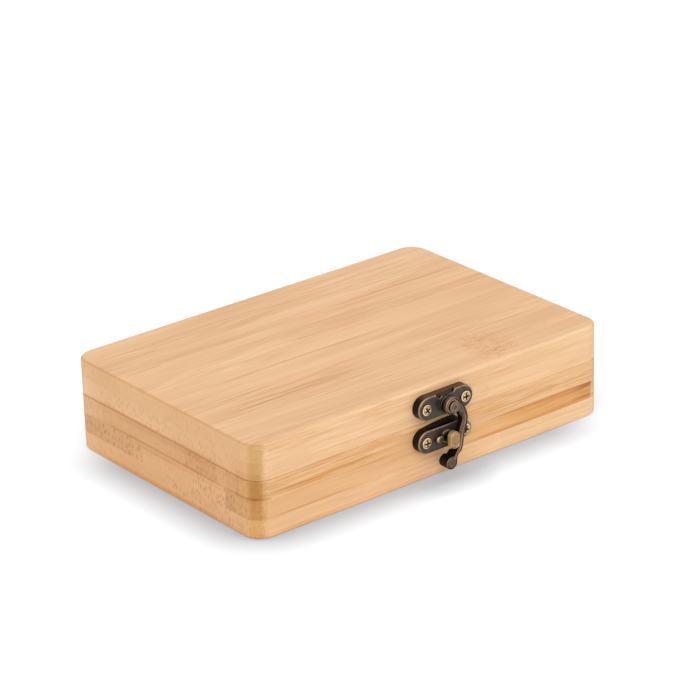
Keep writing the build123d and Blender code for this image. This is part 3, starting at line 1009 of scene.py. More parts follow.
    def _between(self, places: np.ndarray, span_mm: tuple[float, float] | None) -> np.ndarray:
        """1 for points whose Y lies in a span and 0 outside it."""
        if span_mm is None:
            return np.zeros(len(places))
        inside = np.minimum(places[:, 1] - span_mm[0], span_mm[1] - places[:, 1])
        return np.clip(0.5 + inside / self.SPAN_FADE_MM, 0.0, 1.0)


# ---- screws ----
@dataclass(frozen=True)
class ScrewSize:
    """The sizes of one kind of screw, in millimetres.

    Args:
        head_radius: the head at its widest.
        shank_radius: the shank.
        length: from the head's widest edge to the point.
        rim: the height of the head's straight rim.
        dome: the height of its dome above the rim.
        tip: the length of the point.
        recess_span: the cross from end to end.
        recess_width: the width of its bars.
        recess_depth: how deep it goes below the dome's top.
    """

    head_radius: float
    shank_radius: float
    length: float
    rim: float
    dome: float
    tip: float = 1.6
    recess_span: float = 2.8
    recess_width: float = 0.85
    recess_depth: float = 1.3


class ScrewTree:
    """The Geometry Nodes tree that puts a cross-recessed screw on each point of a mesh."""

    SIZES = (
        "Head Radius", "Shank Radius", "Length", "Rim", "Dome", "Tip",
        "Recess Span", "Recess Width", "Recess Depth",
    )
    TURNS = 48  # how many sides the round parts have
    DOME_STEPS = 8
    DOME_BEND = 0.55  # where the dome's curve bends, as a share of the head's radius
    WELD_MM = 0.001
    SHARP_ANGLE = 0.5  # in radians; edges that bend more stay sharp
    RECESS_REACH = 0.62  # how far from the axis faces count to the recess, as a share of its span
    RECESS_START = 0.6  # how far up the dome they do, as a share of its height

    def __init__(self) -> None:
        """Builds the tree once."""
        self.tree = bpy.data.node_groups.new("cross_recessed_screws", "GeometryNodeTree")
        self.graph = Graph(self.tree)
        self._declare()
        self._build()

    def _declare(self) -> None:
        """Names the tree's inputs and output."""
        interface = self.tree.interface
        interface.new_socket("Points", in_out="INPUT", socket_type="NodeSocketGeometry")
        for name in self.SIZES:
            interface.new_socket(name, in_out="INPUT", socket_type="NodeSocketFloat")
        interface.new_socket("Facing", in_out="INPUT", socket_type="NodeSocketVector")
        interface.new_socket("Turn", in_out="INPUT", socket_type="NodeSocketFloat")
        interface.new_socket("Seed", in_out="INPUT", socket_type="NodeSocketInt")
        interface.new_socket("Material", in_out="INPUT", socket_type="NodeSocketMaterial")
        interface.new_socket("Screws", in_out="OUTPUT", socket_type="NodeSocketGeometry")

    def _build(self) -> None:
        """Adds the nodes."""
        graph = self.graph
        inputs = graph.node("NodeGroupInput").outputs
        size = {name: Value(graph, inputs[name]) for name in self.SIZES}
        turned = self._turned(size)
        cut = graph.node(
            "GeometryNodeMeshBoolean", {"operation": "DIFFERENCE", "solver": "EXACT"}, {"Mesh 1": turned}
        )
        for bar in self._cross(size):
            graph.tree.links.new(bar, cut.inputs["Mesh 2"])
        marked = self._marked(cut.outputs["Mesh"], size)
        rotation = graph.node(
            "FunctionNodeAlignRotationToVector", {"axis": "Z"}, {"Vector": inputs["Facing"]}
        ).outputs[0]
        placed = graph.node(
            "GeometryNodeInstanceOnPoints", None,
            {"Points": inputs["Points"], "Instance": marked, "Rotation": rotation},
        ).outputs[0]
        most = Value(graph, inputs["Turn"])
        turn = graph.node(
            "FunctionNodeRandomValue", {"data_type": "FLOAT"},
            {"Min_001": most * -1.0, "Max_001": most, "Seed": inputs["Seed"]},
        )
        turn_value = Value(graph, next(s for s in turn.outputs if s.enabled))
        spun = graph.node(
            "GeometryNodeRotateInstances", None,
            {"Instances": placed, "Rotation": graph.vector(0.0, 0.0, turn_value)},
        ).outputs[0]
        real = graph.node("GeometryNodeRealizeInstances", None, {"Geometry": spun}).outputs[0]
        finished = graph.node(
            "GeometryNodeSetMaterial", None, {"Geometry": real, "Material": inputs["Material"]}
        ).outputs[0]
        graph.node("NodeGroupOutput", None, {"Screws": finished})

    def _turned(self, size: dict[str, Value]) -> bpy.types.NodeSocket:
        """The screw's turned body, its head's widest edge at z = 0."""
        graph = self.graph
        top = size["Rim"] + size["Dome"]
        corners = [
            graph.vector(size["Head Radius"], 0.0, size["Rim"]),
            graph.vector(size["Head Radius"], 0.0, 0.0),
            graph.vector(size["Shank Radius"], 0.0, size["Shank Radius"] - size["Head Radius"]),
            graph.vector(size["Shank Radius"], 0.0, size["Tip"] - size["Length"]),
            graph.vector(0.0, 0.0, size["Length"] * -1.0),
        ]
        dome = graph.node(
            "GeometryNodeCurveQuadraticBezier", None,
            {
                "Resolution": self.DOME_STEPS,
                "Start": graph.vector(0.0, 0.0, top),
                "Middle": graph.vector(size["Head Radius"] * self.DOME_BEND, 0.0, top),
                "End": corners[0],
            },
        ).outputs[0]
        lines = [
            graph.node("GeometryNodeCurvePrimitiveLine", None, {"Start": a, "End": b}).outputs[0]
            for a, b in zip(corners, corners[1:])
        ]
        join = graph.node("GeometryNodeJoinGeometry")
        for line in reversed([dome, *lines]):
            graph.tree.links.new(line, join.inputs[0])
        profile = graph.node("GeometryNodeCurveToMesh", None, {"Curve": join.outputs[0]}).outputs[0]
        return self._revolved(profile)

    def _revolved(self, profile: bpy.types.NodeSocket) -> bpy.types.NodeSocket:
        """Turns a profile of edges in the XZ plane about Z into a closed mesh."""
        graph = self.graph
        curve = graph.node("GeometryNodeMeshToCurve", None, {"Mesh": self._merged(profile)}).outputs[0]
        count = graph.node(
            "GeometryNodeAttributeDomainSize", {"component": "CURVE"}, {"Geometry": curve}
        ).outputs["Point Count"]
        grid = graph.node(
            "GeometryNodeMeshGrid", None,
            {"Size X": 1.0, "Size Y": 1.0, "Vertices X": self.TURNS + 1, "Vertices Y": count},
        ).outputs["Mesh"]
        index = Value(graph, graph.node("GeometryNodeInputIndex").outputs[0])
        row = graph.math("MODULO", index, Value(graph, count))
        column = graph.math("FLOOR", index / Value(graph, count))
        sampled = graph.node(
            "GeometryNodeSampleIndex", {"data_type": "FLOAT_VECTOR", "domain": "POINT"},
            {"Geometry": curve, "Value": graph.node("GeometryNodeInputPosition").outputs[0], "Index": row},
        )
        radius, _, height = graph.parts(sampled.outputs[0])
        angle = column * (2 * math.pi / self.TURNS)
        place = graph.vector(
            radius * graph.math("COSINE", angle), radius * graph.math("SINE", angle), height
        )
        bent = graph.node("GeometryNodeSetPosition", None, {"Geometry": grid, "Position": place}).outputs[0]
        return graph.node("GeometryNodeFlipFaces", None, {"Mesh": self._merged(bent)}).outputs[0]

    def _merged(self, mesh: bpy.types.NodeSocket) -> bpy.types.NodeSocket:
        """Joins the points of a mesh that lie on each other."""
        sockets = {"Geometry": mesh, "Distance": self.WELD_MM}
        return self.graph.node("GeometryNodeMergeByDistance", None, sockets).outputs[0]

    def _cross(self, size: dict[str, Value]) -> list[bpy.types.NodeSocket]:
        """The two bars that are cut out of the head."""
        graph = self.graph
        top = size["Rim"] + size["Dome"]
        bars = []
        spans = (size["Recess Span"], size["Recess Width"])
        for across, along in (spans, spans[::-1]):
            bar = graph.node(
                "GeometryNodeMeshCube", None,
                {"Size": graph.vector(across, along, size["Recess Depth"] * 2.0)},
            ).outputs[0]
            raised = graph.node(
                "GeometryNodeTransform", None, {"Geometry": bar, "Translation": graph.vector(0.0, 0.0, top)}
            ).outputs[0]
            bars.append(raised)
        return bars

    def _marked(self, screw: bpy.types.NodeSocket, size: dict[str, Value]) -> bpy.types.NodeSocket:
        """Marks the faces of the recess and shades the screw smooth but for its edges."""
        graph = self.graph
        x, y, z = graph.parts(graph.node("GeometryNodeInputPosition").outputs[0])
        radius = (x * x + y * y) ** 0.5
        inside = radius < size["Recess Span"] * self.RECESS_REACH
        deep = z < size["Rim"] + size["Dome"] * self.RECESS_START
        stored = graph.node(
            "GeometryNodeStoreNamedAttribute", {"data_type": "FLOAT", "domain": "FACE"},
            {"Geometry": screw, "Name": "recess", "Value": inside * deep},
        ).outputs[0]
        angle = Value(graph, graph.node("GeometryNodeInputMeshEdgeAngle").outputs["Unsigned Angle"])
        smooth = graph.node(
            "GeometryNodeSetShadeSmooth", {"domain": "EDGE"},
            {"Geometry": stored, "Shade Smooth": angle < self.SHARP_ANGLE},
        ).outputs[0]
        return graph.node("GeometryNodeSetShadeSmooth", {"domain": "FACE"}, {"Geometry": smooth}).outputs[0]


@dataclass
class ScrewSet:
    """A few equal screws of one body, made by the screw tree.

    Args:
        node: the solids they stand for.
        body: the body they move with.
        size: their sizes.
        facing: the way their heads face, along Y.
        face_mm: the Y of the surface that their heads' widest edge lies on.
        material: their brass.
        seed: the seed of their turns.
        turn: how far each may be turned either way, in radians.
    """

    node: str
    body: str
    size: ScrewSize
    facing: float
    face_mm: float
    material: bpy.types.Material
    seed: int = 1
    turn: float = 0.5

    FLAT_MM = 0.02  # how near a head's widest edge lies to that surface
    APART = 2.5  # points nearer than this many head radii belong to one screw

    def build(self, tree: ScrewTree) -> bpy.types.Object:
        """Makes the screws and hands them to the frame.

        Args:
            tree: the screw tree.

        Returns:
            The piece with all screws of the set.
        """
        seats = self._seats()
        mesh = bpy.data.meshes.new(self.node + "_turned")
        mesh.from_pydata(seats, [], [])
        piece = loose_object(self.node + "_turned", mesh)
        modifier = piece.modifiers.new("screws", "NODES")
        modifier.node_group = tree.tree
        values = {name: getattr(self.size, name.lower().replace(" ", "_")) for name in tree.SIZES}
        values["Facing"] = (0.0, self.facing, 0.0)
        values["Turn"] = self.turn
        values["Seed"] = self.seed
        values["Material"] = self.material
        for item in tree.tree.interface.items_tree:
            if item.name in values:
                modifier[item.identifier] = values[item.name]
        finished = applied(piece)
        piece.modifiers.remove(modifier)
        finished.transform(Matrix.Scale(MM, 4))
        piece.data = finished
        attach(piece, self.body)
        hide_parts(self.node)
        log.info("%s: %d screws, %d faces", piece.name, len(seats), len(finished.polygons))
        return piece

    def _seats(self) -> list[tuple[float, float, float]]:
        """The middles of the heads, read from the solids, in millimetres."""
        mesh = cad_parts[self.node].data
        places = points_of(mesh) / MM
        heads = places[np.abs(places[:, 1] - self.face_mm) < self.FLAT_MM]
        groups: list[list[np.ndarray]] = []
        for place in heads:
            near = [g for g in groups if np.linalg.norm(g[0] - place) < self.APART * self.size.head_radius]
            if near:
                near[0].append(place)
            else:
                groups.append([place])
        middles = [(np.min(group, axis=0) + np.max(group, axis=0)) / 2 for group in groups]
        return [tuple(float(c) for c in middle) for middle in middles]


# ---- the box ----
class Board(Enum):
    """The five boards of the box, from the bottom up, by their solids' names."""

    FLOOR = "base_floor_board"
    LOWER = "base_lower_frame"
    UPPER = "base_upper_frame"
    LID_FRAME = "lid_frame"
    LID_TOP = "lid_top_board"


def lid_top_wood() -> BambooFinish:
    """The lid's top board: calm wood with one plain culm node near the latch."""
    return BambooFinish(
        "bamboo_lid_top",
        strips=(
            Strip(-60, 1.05, -0.6, 0.15), Strip(-59.3, 1.0, -0.1, 0.15), Strip(-31, 1.0, 0.1, 0.2),
            Strip(-3, 1.01, -0.1, 0.1), Strip(27, 0.975, 0.2, 0.2),
        ),
        slant=factor(0.80, 0.80, 0.65),
        seed=3.1,
        patches=(
            Patch.front((78, 34), (76, WHOLE_MM), factor(1.04, 1.11, 1.15), 0.1),
            # painted light that lifts the shade right of the latch
            Patch.front((20, 36.5), (8, 4), factor(1.035, 1.045, 1.04), 0.0),
            Patch.end((60, 34), (20, 5.6), factor(1.05, 1.10, 1.18), 0.1, deep_mm=4),
            Patch.top((-25, -3.4), (60, 0.8), tone(238, 222, 200), 0.8),
            Patch.top((38, 26), (62, 3.2), tone(246, 236, 220), 0.7),
            Patch.top((-78, 27.4), (9, 0.5), tone(236, 216, 190), 0.5, deep_mm=0.8),
            Patch.top((-45, -23), (48, 6.5), tone(244, 234, 216), 1.0),
        ),
        nodes=(CulmNode((41, -45, 40), (14, 16, 8), 0.9), CulmNode((-30, -60, 38), (10, 4, 6), 0.25)),
    )


def lid_frame_wood() -> BambooFinish:
    """The lid's lower board, a little paler at its back corner."""
    return BambooFinish(
        "bamboo_lid_frame",
        strips=(
            Strip(-60, 1.06, -0.7, 0.2), Strip(-59.3, 1.0, 0.0, 0.2), Strip(-36, 1.0, 0.1, 0.4),
            Strip(-8, 1.02, -0.1, 0.35), Strip(41, 1.03, -0.8, 0.15), Strip(53, 1.0, 0.0, 0.2),
        ),
        slant=factor(0.76, 0.76, 0.60),
        streaks=0.7,
        seed=11.7,
        patches=(
            Patch.front((78, 28), (76, WHOLE_MM), factor(1.04, 1.11, 1.12), 0.1),
            Patch.end((60, 28), (15, WHOLE_MM), factor(1.08, 1.18, 1.34), 0.1, deep_mm=4),
            Patch.end((-60, 27), (20, WHOLE_MM), tone(252, 245, 240), 0.1, deep_mm=4),
            Patch.end((0, 25.2), (58, 0.7), tone(238, 222, 204), 0.15, deep_mm=5),
            # painted light that lifts the shade in the parting groove at the right
            Patch.front((62, 24.6), (40, 0.7), factor(1.05, 1.08, 1.12), 0.0, deep_mm=2.5),
            Patch.front((66, 26.2), (40, 1.2), factor(0.98, 0.965, 0.955), 0.2),
            Patch.end((12, 27.2), (22, 1.6), factor(1.035, 1.065, 1.10), 0.2),
            Patch.end((12, 25.7), (26, 0.9), factor(1.045, 1.085, 1.125), 0.1),
            Patch.end((5, 30), (50, 2.4), factor(1.01, 1.03, 1.055), 0.2),
            Patch.end((-53, 26), (6, 1.6), tone(246, 242, 236), 0.0),
        ),
        nodes=(CulmNode((25, -60, 30.5), (3.5, 6, 7), 0.25),),
    )


def upper_wood() -> BambooFinish:
    """The base's upper board, the most streaked one, with warm strips at its ends."""
    return BambooFinish(
        "bamboo_base_upper",
        strips=(
            Strip(-60, 0.97, 0.3, 0.5), Strip(-59.3, 0.90, 1.9, 0.5), Strip(-50, 0.85, 1.5, 0.6),
            Strip(-42, 0.90, 1.4, 0.3), Strip(-36, 0.845, 1.9, 0.8), Strip(-15, 0.90, 1.0, 0.2),
            Strip(12, 0.90, 1.2, 0.25), Strip(41, 0.94, 0.6, 0.4),
        ),
        slant=factor(0.66, 0.58, 0.34),
        deep=tone(219, 163, 107),
        streaks=1.45,
        seed=24.3,
        patches=(
            Patch.end((60, 20), (20, WHOLE_MM), factor(1.03, 1.11, 1.24), 0.1, deep_mm=4),
            Patch.end((-5, 23.3), (50, 0.9), tone(249, 243, 238), 0.1, deep_mm=4),
            Patch.end((2, 16.7), (52, 1.0), tone(234, 216, 194), 0.2, deep_mm=5),
            Patch.end((-54, 16.9), (12, 0.6), tone(240, 224, 208), 0.3, deep_mm=8),
            Patch.front((-36, 17.9), (42, 2.2), tone(246, 232, 206), 0.2),
            Patch.front((62, 18.6), (28, 1.4), tone(250, 243, 228), 0.3),
            # painted light that lifts the shade in the parting groove at the right
            Patch.front((62, 24.6), (40, 0.7), factor(1.06, 1.09, 1.14), 0.0, deep_mm=2.5),
            Patch.front((66, 23.4), (40, 1.4), factor(0.97, 0.94, 0.84), 0.2),
            Patch.front((0, 22.2), (46, 2.0), factor(1.05, 1.055, 1.02), 0.3),
            Patch.front((62, 18.8), (24, 1.2), factor(0.975, 0.975, 0.95), 0.3),
            Patch.front((44, 20.1), (34, 1.2), factor(1.02, 1.035, 1.035), 0.1),
            Patch.front((-40, 24.2), (12, 0.5), factor(0.965, 0.965, 0.88), 0.1),
            Patch.front((-42, 23.3), (34, 0.9), factor(1.05, 1.02, 1.03), 0.1),
            Patch.end((-8, 22.5), (54, 1.2), factor(0.97, 0.96, 0.955), 0.1, deep_mm=5),
            Patch.front((-56, 20.4), (40, 3.8), factor(1.0, 1.0, 0.95), 0.1),
            # painted light that lifts the shade right of the latch
            Patch.front((20, 22.0), (8, 3), factor(1.04, 1.045, 1.02), 0.1),
            Patch.end((-53, 20), (6, WHOLE_MM), tone(251, 248, 240), 0.0),
            Patch.end((-53, 16.9), (6, 1.0), tone(240, 238, 234), 0.0),
            Patch.front((-62, 23.2), (26, 0.3), tone(240, 224, 204), 0.8),
            Patch.front((-55, 18.8), (34, 0.5), tone(244, 230, 208), 0.9),
        ),
    )


def lower_wood() -> BambooFinish:
    """The base's middle board, with a darker wedge at the right of its front."""
    return BambooFinish(
        "bamboo_base_lower",
        strips=(
            Strip(-60, 0.98, 0.8, 0.8), Strip(-59.3, 0.94, 1.4, 0.8), Strip(-47, 0.82, 1.4, 1.0),
            Strip(-41, 1.0, 0.4, 0.8), Strip(-20, 0.99, 0.4, 0.2), Strip(14, 0.93, 0.8, 0.7),
            Strip(20, 0.86, 1.3, 1.0), Strip(41, 0.85, 1.3, 0.8),
        ),
        slant=factor(0.74, 0.66, 0.44),
        streaks=1.2,
        seed=38.9,
        patches=(
            Patch.end((-12, 15.2), (40, 1.0), tone(250, 241, 232), 0.1, deep_mm=4),
            Patch.front((-48, 16.1), (32, 0.3), tone(236, 218, 196), 0.6),
            Patch.front((-62, 8.7), (24, 0.3), tone(240, 226, 208), 0.4),
            Patch.front((32, 12.0), (26, WHOLE_MM), tone(255, 250, 238), 0.4),
            Patch.front((56, 9.2), (52, 0.7), tone(242, 230, 212), 0.5),
            Patch.front((54, 15.4), (30, 0.45), tone(226, 203, 164), 0.1, lead_mm=16, deep_mm=3),
            Patch.front((79, 14.9), (5, 1.0), tone(244, 236, 208), 0.5, lead_mm=9, deep_mm=3),
            Patch.front((62, 16.2), (26, 0.5), factor(1.07, 1.09, 1.09), 0.1, lead_mm=16, deep_mm=3),
            Patch.front((-70, 16.0), (20, 0.5), factor(0.97, 0.97, 0.90), 0.1),
            Patch.front((20, 12.6), (10, 2.8), factor(0.99, 0.98, 0.88), 0.1),
            Patch.front((50, 9.2), (20, 0.7), factor(1.02, 1.05, 1.06), 0.1),
            Patch.end((-52, 15.9), (6, 0.7), factor(0.93, 0.91, 0.86), 0.1, deep_mm=4),
            Patch.end((5, 14.0), (24, 1.4), factor(0.965, 0.95, 0.92), 0.1, deep_mm=5),
            Patch.front((-60, 12.2), (34, 3.8), factor(1.01, 1.025, 0.985), 0.1),
            Patch.front((50, 11.6), (34, 4.0), tone(244, 229, 188), 0.2, lead_mm=40, deep_mm=3),
            Patch.front((77, 12.4), (7, 3.4), tone(222, 200, 158), 0.7, lead_mm=11, deep_mm=3),
            Patch.front((0, 12.4), (26, 2.0), tone(254, 250, 232), 0.2),
            Patch.end((4, 15.2), (18, 0.9), tone(246, 242, 236), 0.1),
            Patch.end((-53, 12), (6, WHOLE_MM), tone(248, 245, 238), 0.0),
        ),
    )


def floor_wood() -> BambooFinish:
    """The base's lowest board, pale at the front and warm at its lower edge."""
    return BambooFinish(
        "bamboo_base_floor",
        strips=(
            Strip(-60, 1.04, -0.4, 0.5), Strip(-59.3, 1.0, 0.0, 0.5), Strip(-34, 0.98, 0.5, 0.6),
            Strip(-2, 0.98, 0.5, 0.2), Strip(28, 1.0, 0.5, 0.3),
        ),
        slant=factor(0.88, 0.82, 0.66),
        streaks=0.7,
        seed=52.4,
        patches=(
            Patch.front((78, 4), (76, WHOLE_MM), factor(1.03, 1.13, 1.20), 0.1),
            Patch.end((60, 4), (20, WHOLE_MM), factor(1.03, 1.10, 1.18), 0.1, deep_mm=4),
            Patch.end((0, 0.8), (62, 1.8), tone(250, 230, 204), 0.2, deep_mm=5),
            # painted light that lifts the shade right of the latch
            Patch.front((20, 4), (14, WHOLE_MM), factor(1.03, 1.035, 1.04), 0.1),
            Patch.front((-60, 4), (34, 4), factor(0.99, 1.025, 1.035), 0.1),
            Patch.end((-53, 4), (6, WHOLE_MM), tone(251, 250, 244), 0.0),
            Patch.front((-52, 1.1), (46, 1.2), tone(250, 235, 208), 0.6, deep_mm=3),
        ),
    )


@dataclass
class WoodenCase:
    """The five glued boards, each with its own strips, culm nodes and tints.

    Args:
        finishes: the wood of each board.
    """

    finishes: dict[Board, BambooFinish] = field(
        default_factory=lambda: {
            Board.LID_TOP: lid_top_wood(),
            Board.LID_FRAME: lid_frame_wood(),
            Board.UPPER: upper_wood(),
            Board.LOWER: lower_wood(),
            Board.FLOOR: floor_wood(),
        }
    )

    def dress(self) -> None:
        """Gives each board its wood."""
        for board, finish in self.finishes.items():
            dress(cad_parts[board.value], finish.material())
            log.info("%s: %s", board.value, finish.name)


@dataclass
class SwingLatch:
    """The latch: two plates, the arm on its rivet, the keeper stud and four screws.

    Args:
        plates: the bronze of the plates.
        arm: the bronze of the arm.
        rivet: the bronze of the rivet.
        stud: the brass of the stud, which hands have polished, with painted light on its pale side walls.
        screw_size: the sizes of its screws.
        plate_front_mm: the Y of the plates' fronts.
        set_back_behind_mm: how far behind its front the lid plate gets a painted sheen and no bare edges.
        plate_back_layer_mm: the Y behind which the keeper plate gets painted shade.
        stud_head_back_mm: the Y of the back of the stud's head, behind which the stud gets painted shade.
        eye_wall_mm: the Y from which the arm's eye gets painted light on its wall.
        eye_radius_mm: how far from the rivet the eye reaches.
    """

    plates: AntiqueBronze = field(default_factory=lambda: AntiqueBronze("antique_bronze"))
    arm: AntiqueBronze = field(
        default_factory=lambda: AntiqueBronze(
            "antique_bronze_arm", coat=tone(28, 17, 11), rubbed_and_lit=tone(108, 85, 70), bare=tone(178, 146, 116)
        )
    )
    rivet: AntiqueBronze = field(
        default_factory=lambda: AntiqueBronze(
            "antique_bronze_rivet", rubbed_and_lit=tone(124, 102, 88), bare=tone(150, 126, 104), wear=0.3
        )
    )
    stud: AntiqueBronze = field(
        default_factory=lambda: AntiqueBronze(
            "antique_bronze_stud",
            # pale side walls: painted light on the stud's walls
            coat=tone(216, 182, 122),
            rubbed_and_lit=tone(146, 106, 66),
            bare=tone(240, 212, 164),
            wear=0.8,
        )
    )
    screw_size: ScrewSize = ScrewSize(2.3, 1.25, 9.0, 0.4, 0.45)
    plate_front_mm: float = -64.1
    set_back_behind_mm: float = 0.7
    plate_back_layer_mm: float = -62.9
    stud_head_back_mm: float = -67.35
    eye_wall_mm: float = -66.2
    eye_radius_mm: float = 4.0

    def build(self, screws: ScrewTree, brass: bpy.types.Material) -> None:
        """Makes the latch's pieces.

        Args:
            screws: the screw tree.
            brass: the screws' material.
        """
        slot = "antique_bronze"
        plates = self.plates.material()
        Casting(
            "latch_lid_plate", "lid", slot, plates,
            set_back_mm=(self.plate_front_mm + self.set_back_behind_mm, 0.0),
            screw_shade_mm=self._screw_shades("latch_lid_screws"), crown_mm=0.2, crown_width_mm=0.9,
        ).build()
        Casting(
            "latch_keeper_plate", "base", slot, plates, shaded_behind_mm=self.plate_back_layer_mm,
            screw_shade_mm=self._screw_shades("latch_base_screws"), crown_mm=0.2, crown_width_mm=0.9,
        ).build()
        pivot_x, _, pivot_z = (float(c) for c in sum(box_mm("latch_rivet")) / 2)
        Casting(
            "latch_arm", "arm", slot, self.arm.material(), voxel_mm=0.11, softness=9,
            crown_mm=1.0, crown_width_mm=1.7,
            round_end_mm=(pivot_x, self.eye_wall_mm, pivot_z, self.eye_radius_mm),
        ).build()
        Casting("latch_rivet", "lid", slot, self.rivet.material(), voxel_mm=0.1, softness=3).build()
        Casting(
            "latch_keeper_stud", "base", slot, self.stud.material(), shaded_behind_mm=self.stud_head_back_mm,
            voxel_mm=0.1, softness=12, crown_mm=0.6, crown_width_mm=1.6,
        ).build()
        for node, body, seed in (("latch_lid_screws", "lid", 5), ("latch_base_screws", "base", 2)):
            ScrewSet(node, body, self.screw_size, -1.0, self.plate_front_mm, brass, seed).build(screws)

    def _screw_shades(self, screws: str) -> tuple[tuple[float, float], ...]:
        """The X and Z of the two screws of a plate, read from their solids."""
        low, high = box_mm(screws)
        radius = self.screw_size.head_radius
        middle = float(low[2] + high[2]) / 2
        return ((float(low[0]) + radius, middle), (float(high[0]) - radius, middle))


@dataclass
class ButtHinges:
    """The two hinges on the back: leaves, pins and eight screws.

    Args:
        finish: their bronze.
        screw_size: the sizes of their screws.
        leaf_back_mm: the Y of the leaves' outer faces.
    """

    finish: AntiqueBronze = field(default_factory=lambda: AntiqueBronze("hinge_bronze", wear=0.35))
    screw_size: ScrewSize = ScrewSize(
        1.9, 0.95, 7.0, 0.1, 0.25, recess_span=2.5, recess_width=0.72, recess_depth=0.85
    )
    leaf_back_mm: float = 61.0

    def build(self, screws: ScrewTree, brass: bpy.types.Material) -> None:
        """Makes the hinges' pieces.

        Args:
            screws: the screw tree.
            brass: the screws' material.
        """
        bronze = self.finish.material()
        for side in ("left", "right"):
            for piece, body in (("lid_leaf", "lid"), ("base_leaf", "base"), ("pin", "base")):
                node = f"hinge_{side}_{piece}"
                Casting(node, body, "hinge_bronze", bronze, front=1.0, voxel_mm=0.16, softness=3).build()
        for node, body, seed in (("hinge_lid_screws", "lid", 3), ("hinge_base_screws", "base", 4)):
            ScrewSet(node, body, self.screw_size, 1.0, self.leaf_back_mm, brass, seed).build(screws)


# ---- studio ----
@dataclass(frozen=True)
class Lamp:
    """A soft far lamp.

    Args:
        name: the lamp's name.
        azimuth: where it stands, from the front to the right, in degrees.
        tilt: its angle from overhead, in degrees.
        strength: its strength.
        softness: its angular size, in degrees.
    """

    name: str
    azimuth: float
    tilt: float
    strength: float
    softness: float = 60.0

    def build(self) -> None:
        """Adds the lamp to the scene."""
        lamp = bpy.data.lights.new(self.name, "SUN")
        lamp.energy = self.strength
        lamp.angle = math.radians(self.softness)
        holder = bpy.data.objects.new(self.name, lamp)
        bpy.context.scene.collection.objects.link(holder)
        azimuth, tilt = math.radians(self.azimuth), math.radians(self.tilt)
        towards = Vector(
            (math.sin(azimuth) * math.sin(tilt), -math.cos(azimuth) * math.sin(tilt), math.cos(tilt))
        )
        holder.rotation_euler = towards.to_track_quat("Z", "Y").to_euler()


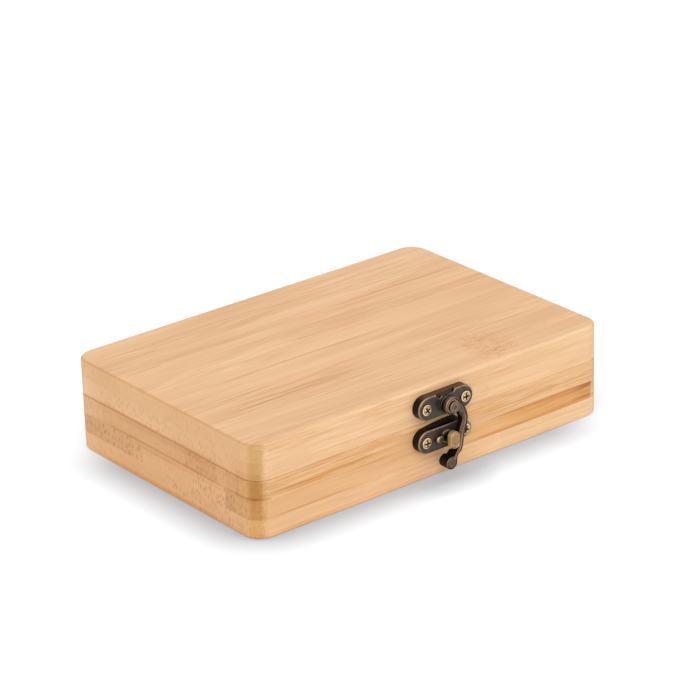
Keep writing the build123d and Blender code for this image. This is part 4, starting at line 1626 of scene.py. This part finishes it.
@dataclass
class Studio:
    """A pale floor under soft light, and the camera.

    Args:
        camera_place: where the camera stands.
        azimuth: the camera's turn about the box, in degrees.
        elevation: its angle above the floor, in degrees.
        roll: its lean to the side, in degrees.
        lens_mm: its focal length.
        sensor_mm: the width of its sensor.
        shift: how far its picture is moved sideways, as a share of its width.
        clip_start: how near to it things are still drawn.
        lamps: the lamps.
        sky: the strength of the even sky.
        floor_size: the floor's side.
        floor_drop: how far the floor lies below the box, so that their faces don't meet.
        floor_white: the floor's colour as it lights the box.
        floor_shade: its colour under the lamps as the camera sees it.
        floor_glow: how brightly it glows where no box stands over it.
        shadow_reach: how far from the box the glow is dimmed.
        shadow_depth: the power of that dimming.
        shadow_floor: the least open sky that the dimming counts.
        faded_corners: the X and Y of the box's corners whose shadow fades away.
        fade_reach: how far from such a corner it is faded.
        fade_core: the share of that reach in which it is faded most.
        fade_share: how much of it is faded there.
    """

    camera_place: tuple[float, float, float] = (-0.71669, -0.91103, 0.53848)
    azimuth: float = -38.41
    elevation: float = 23.49
    roll: float = -1.64
    lens_mm: float = 159.74
    sensor_mm: float = 36.0
    shift: float = -0.0008
    clip_start: float = 0.05
    lamps: tuple[Lamp, ...] = (Lamp("key", -35.0, 52.0, 1.25), Lamp("fill", 60.0, 35.0, 0.30))
    sky: float = 0.68
    floor_size: float = 6.0
    floor_drop: float = 0.00005
    floor_white: Colour = (0.80, 0.80, 0.80, 1.0)
    floor_shade: Colour = (0.26, 0.275, 0.30, 1.0)
    floor_glow: float = 0.82
    shadow_reach: float = 0.021
    shadow_depth: float = 1.6
    shadow_floor: float = 0.55
    faded_corners: tuple[tuple[float, float], ...] = ((0.098, -0.068), (-0.098, 0.068))
    fade_reach: float = 0.042
    fade_core: float = 0.2
    fade_share: float = 0.8

    def build(self) -> None:
        """Sets up floor, sky, lamps and camera."""
        self._floor()
        self._world()
        for lamp in self.lamps:
            lamp.build()
        self._camera()
        bpy.context.scene.view_settings.view_transform = "Standard"
        log.info("studio: floor, sky, %d lamps and the camera", len(self.lamps))

    def _floor(self) -> None:
        """Adds the floor, whose lit parts show white and whose shadows stay."""
        half = self.floor_size / 2
        corners = ((-half, -half), (half, -half), (half, half), (-half, half))
        mesh = bpy.data.meshes.new("floor")
        mesh.from_pydata([(x, y, -self.floor_drop) for x, y in corners], [], [(0, 1, 2, 3)])
        floor = loose_object("floor", mesh)
        material = bpy.data.materials.new("studio_floor")
        material.use_nodes = True
        graph = Graph(material.node_tree)
        paper = graph.node("ShaderNodeBsdfDiffuse", None, {"Color": self.floor_white}).outputs[0]
        shade = graph.node("ShaderNodeBsdfDiffuse", None, {"Color": self.floor_shade}).outputs[0]
        nook = graph.node("ShaderNodeAmbientOcclusion", {"samples": 16}, {"Distance": self.shadow_reach})
        open_sky = graph.math("MAXIMUM", Value(graph, nook.outputs["AO"]), self.shadow_floor)
        x, y, _ = graph.parts(graph.node("ShaderNodeTexCoord").outputs["Object"])
        for corner in self.faded_corners:
            distance = ((x - corner[0]) ** 2 + (y - corner[1]) ** 2) ** 0.5
            faded = distance.step(self.fade_reach, self.fade_core * self.fade_reach)
            open_sky = open_sky + (1 - open_sky) * faded * self.fade_share
        glow = graph.node(
            "ShaderNodeEmission", None, {"Strength": open_sky ** self.shadow_depth * self.floor_glow}
        ).outputs[0]
        shown = graph.node("ShaderNodeAddShader", None, {0: shade, 1: glow}).outputs[0]
        mixed = graph.node("ShaderNodeMixShader", None, {0: self._seen(graph), 1: paper, 2: shown}).outputs[0]
        graph.node("ShaderNodeOutputMaterial", None, {"Surface": mixed})
        dress(floor, material)

    @staticmethod
    def _seen(graph: Graph) -> Value:
        """1 for rays from the camera, from a mirror-like surface or through a clear one."""
        rays = graph.node("ShaderNodeLightPath").outputs
        seen = Value(graph, rays["Is Camera Ray"])
        for name in ("Is Glossy Ray", "Is Transmission Ray"):
            seen = graph.math("MAXIMUM", seen, Value(graph, rays[name]))
        return seen

    def _world(self) -> None:
        """Adds an even sky that shows white behind the box."""
        world = bpy.data.worlds.new("studio_sky")
        world.use_nodes = True
        bpy.context.scene.world = world
        graph = Graph(world.node_tree)
        light, white = (
            graph.node("ShaderNodeBackground", None, {"Color": WHITE, "Strength": strength}).outputs[0]
            for strength in (self.sky, 1.0)
        )
        mixed = graph.node("ShaderNodeMixShader", None, {0: self._seen(graph), 1: light, 2: white}).outputs[0]
        graph.node("ShaderNodeOutputWorld", None, {"Surface": mixed})

    def _camera(self) -> None:
        """Adds the camera at its place and turn."""
        azimuth, elevation, roll = (math.radians(a) for a in (self.azimuth, self.elevation, self.roll))
        back = Vector((
            math.sin(azimuth) * math.cos(elevation),
            -math.cos(azimuth) * math.cos(elevation),
            math.sin(elevation),
        ))
        right = Vector((math.cos(azimuth), math.sin(azimuth), 0.0))
        up = back.cross(right)
        turned_right = math.cos(roll) * right + math.sin(roll) * up
        turned_up = math.cos(roll) * up - math.sin(roll) * right
        camera = bpy.data.cameras.new("camera")
        camera.lens = self.lens_mm
        camera.sensor_width = self.sensor_mm
        camera.shift_x = self.shift
        camera.clip_start = self.clip_start
        holder = bpy.data.objects.new("camera", camera)
        bpy.context.scene.collection.objects.link(holder)
        turn = Matrix((turned_right, turned_up, back)).transposed().to_4x4()
        holder.matrix_world = Matrix.Translation(self.camera_place) @ turn
        bpy.context.scene.camera = holder


def main() -> None:
    """Builds and dresses the box, then the studio."""
    logging.basicConfig(level=logging.INFO, format="%(message)s")
    screws = ScrewTree()
    brass = ScrewBrass("screw_brass").material()
    WoodenCase().dress()
    SwingLatch().build(screws, brass)
    ButtHinges().build(screws, brass)
    Studio().build()


if __name__ == "__main__":
    main()
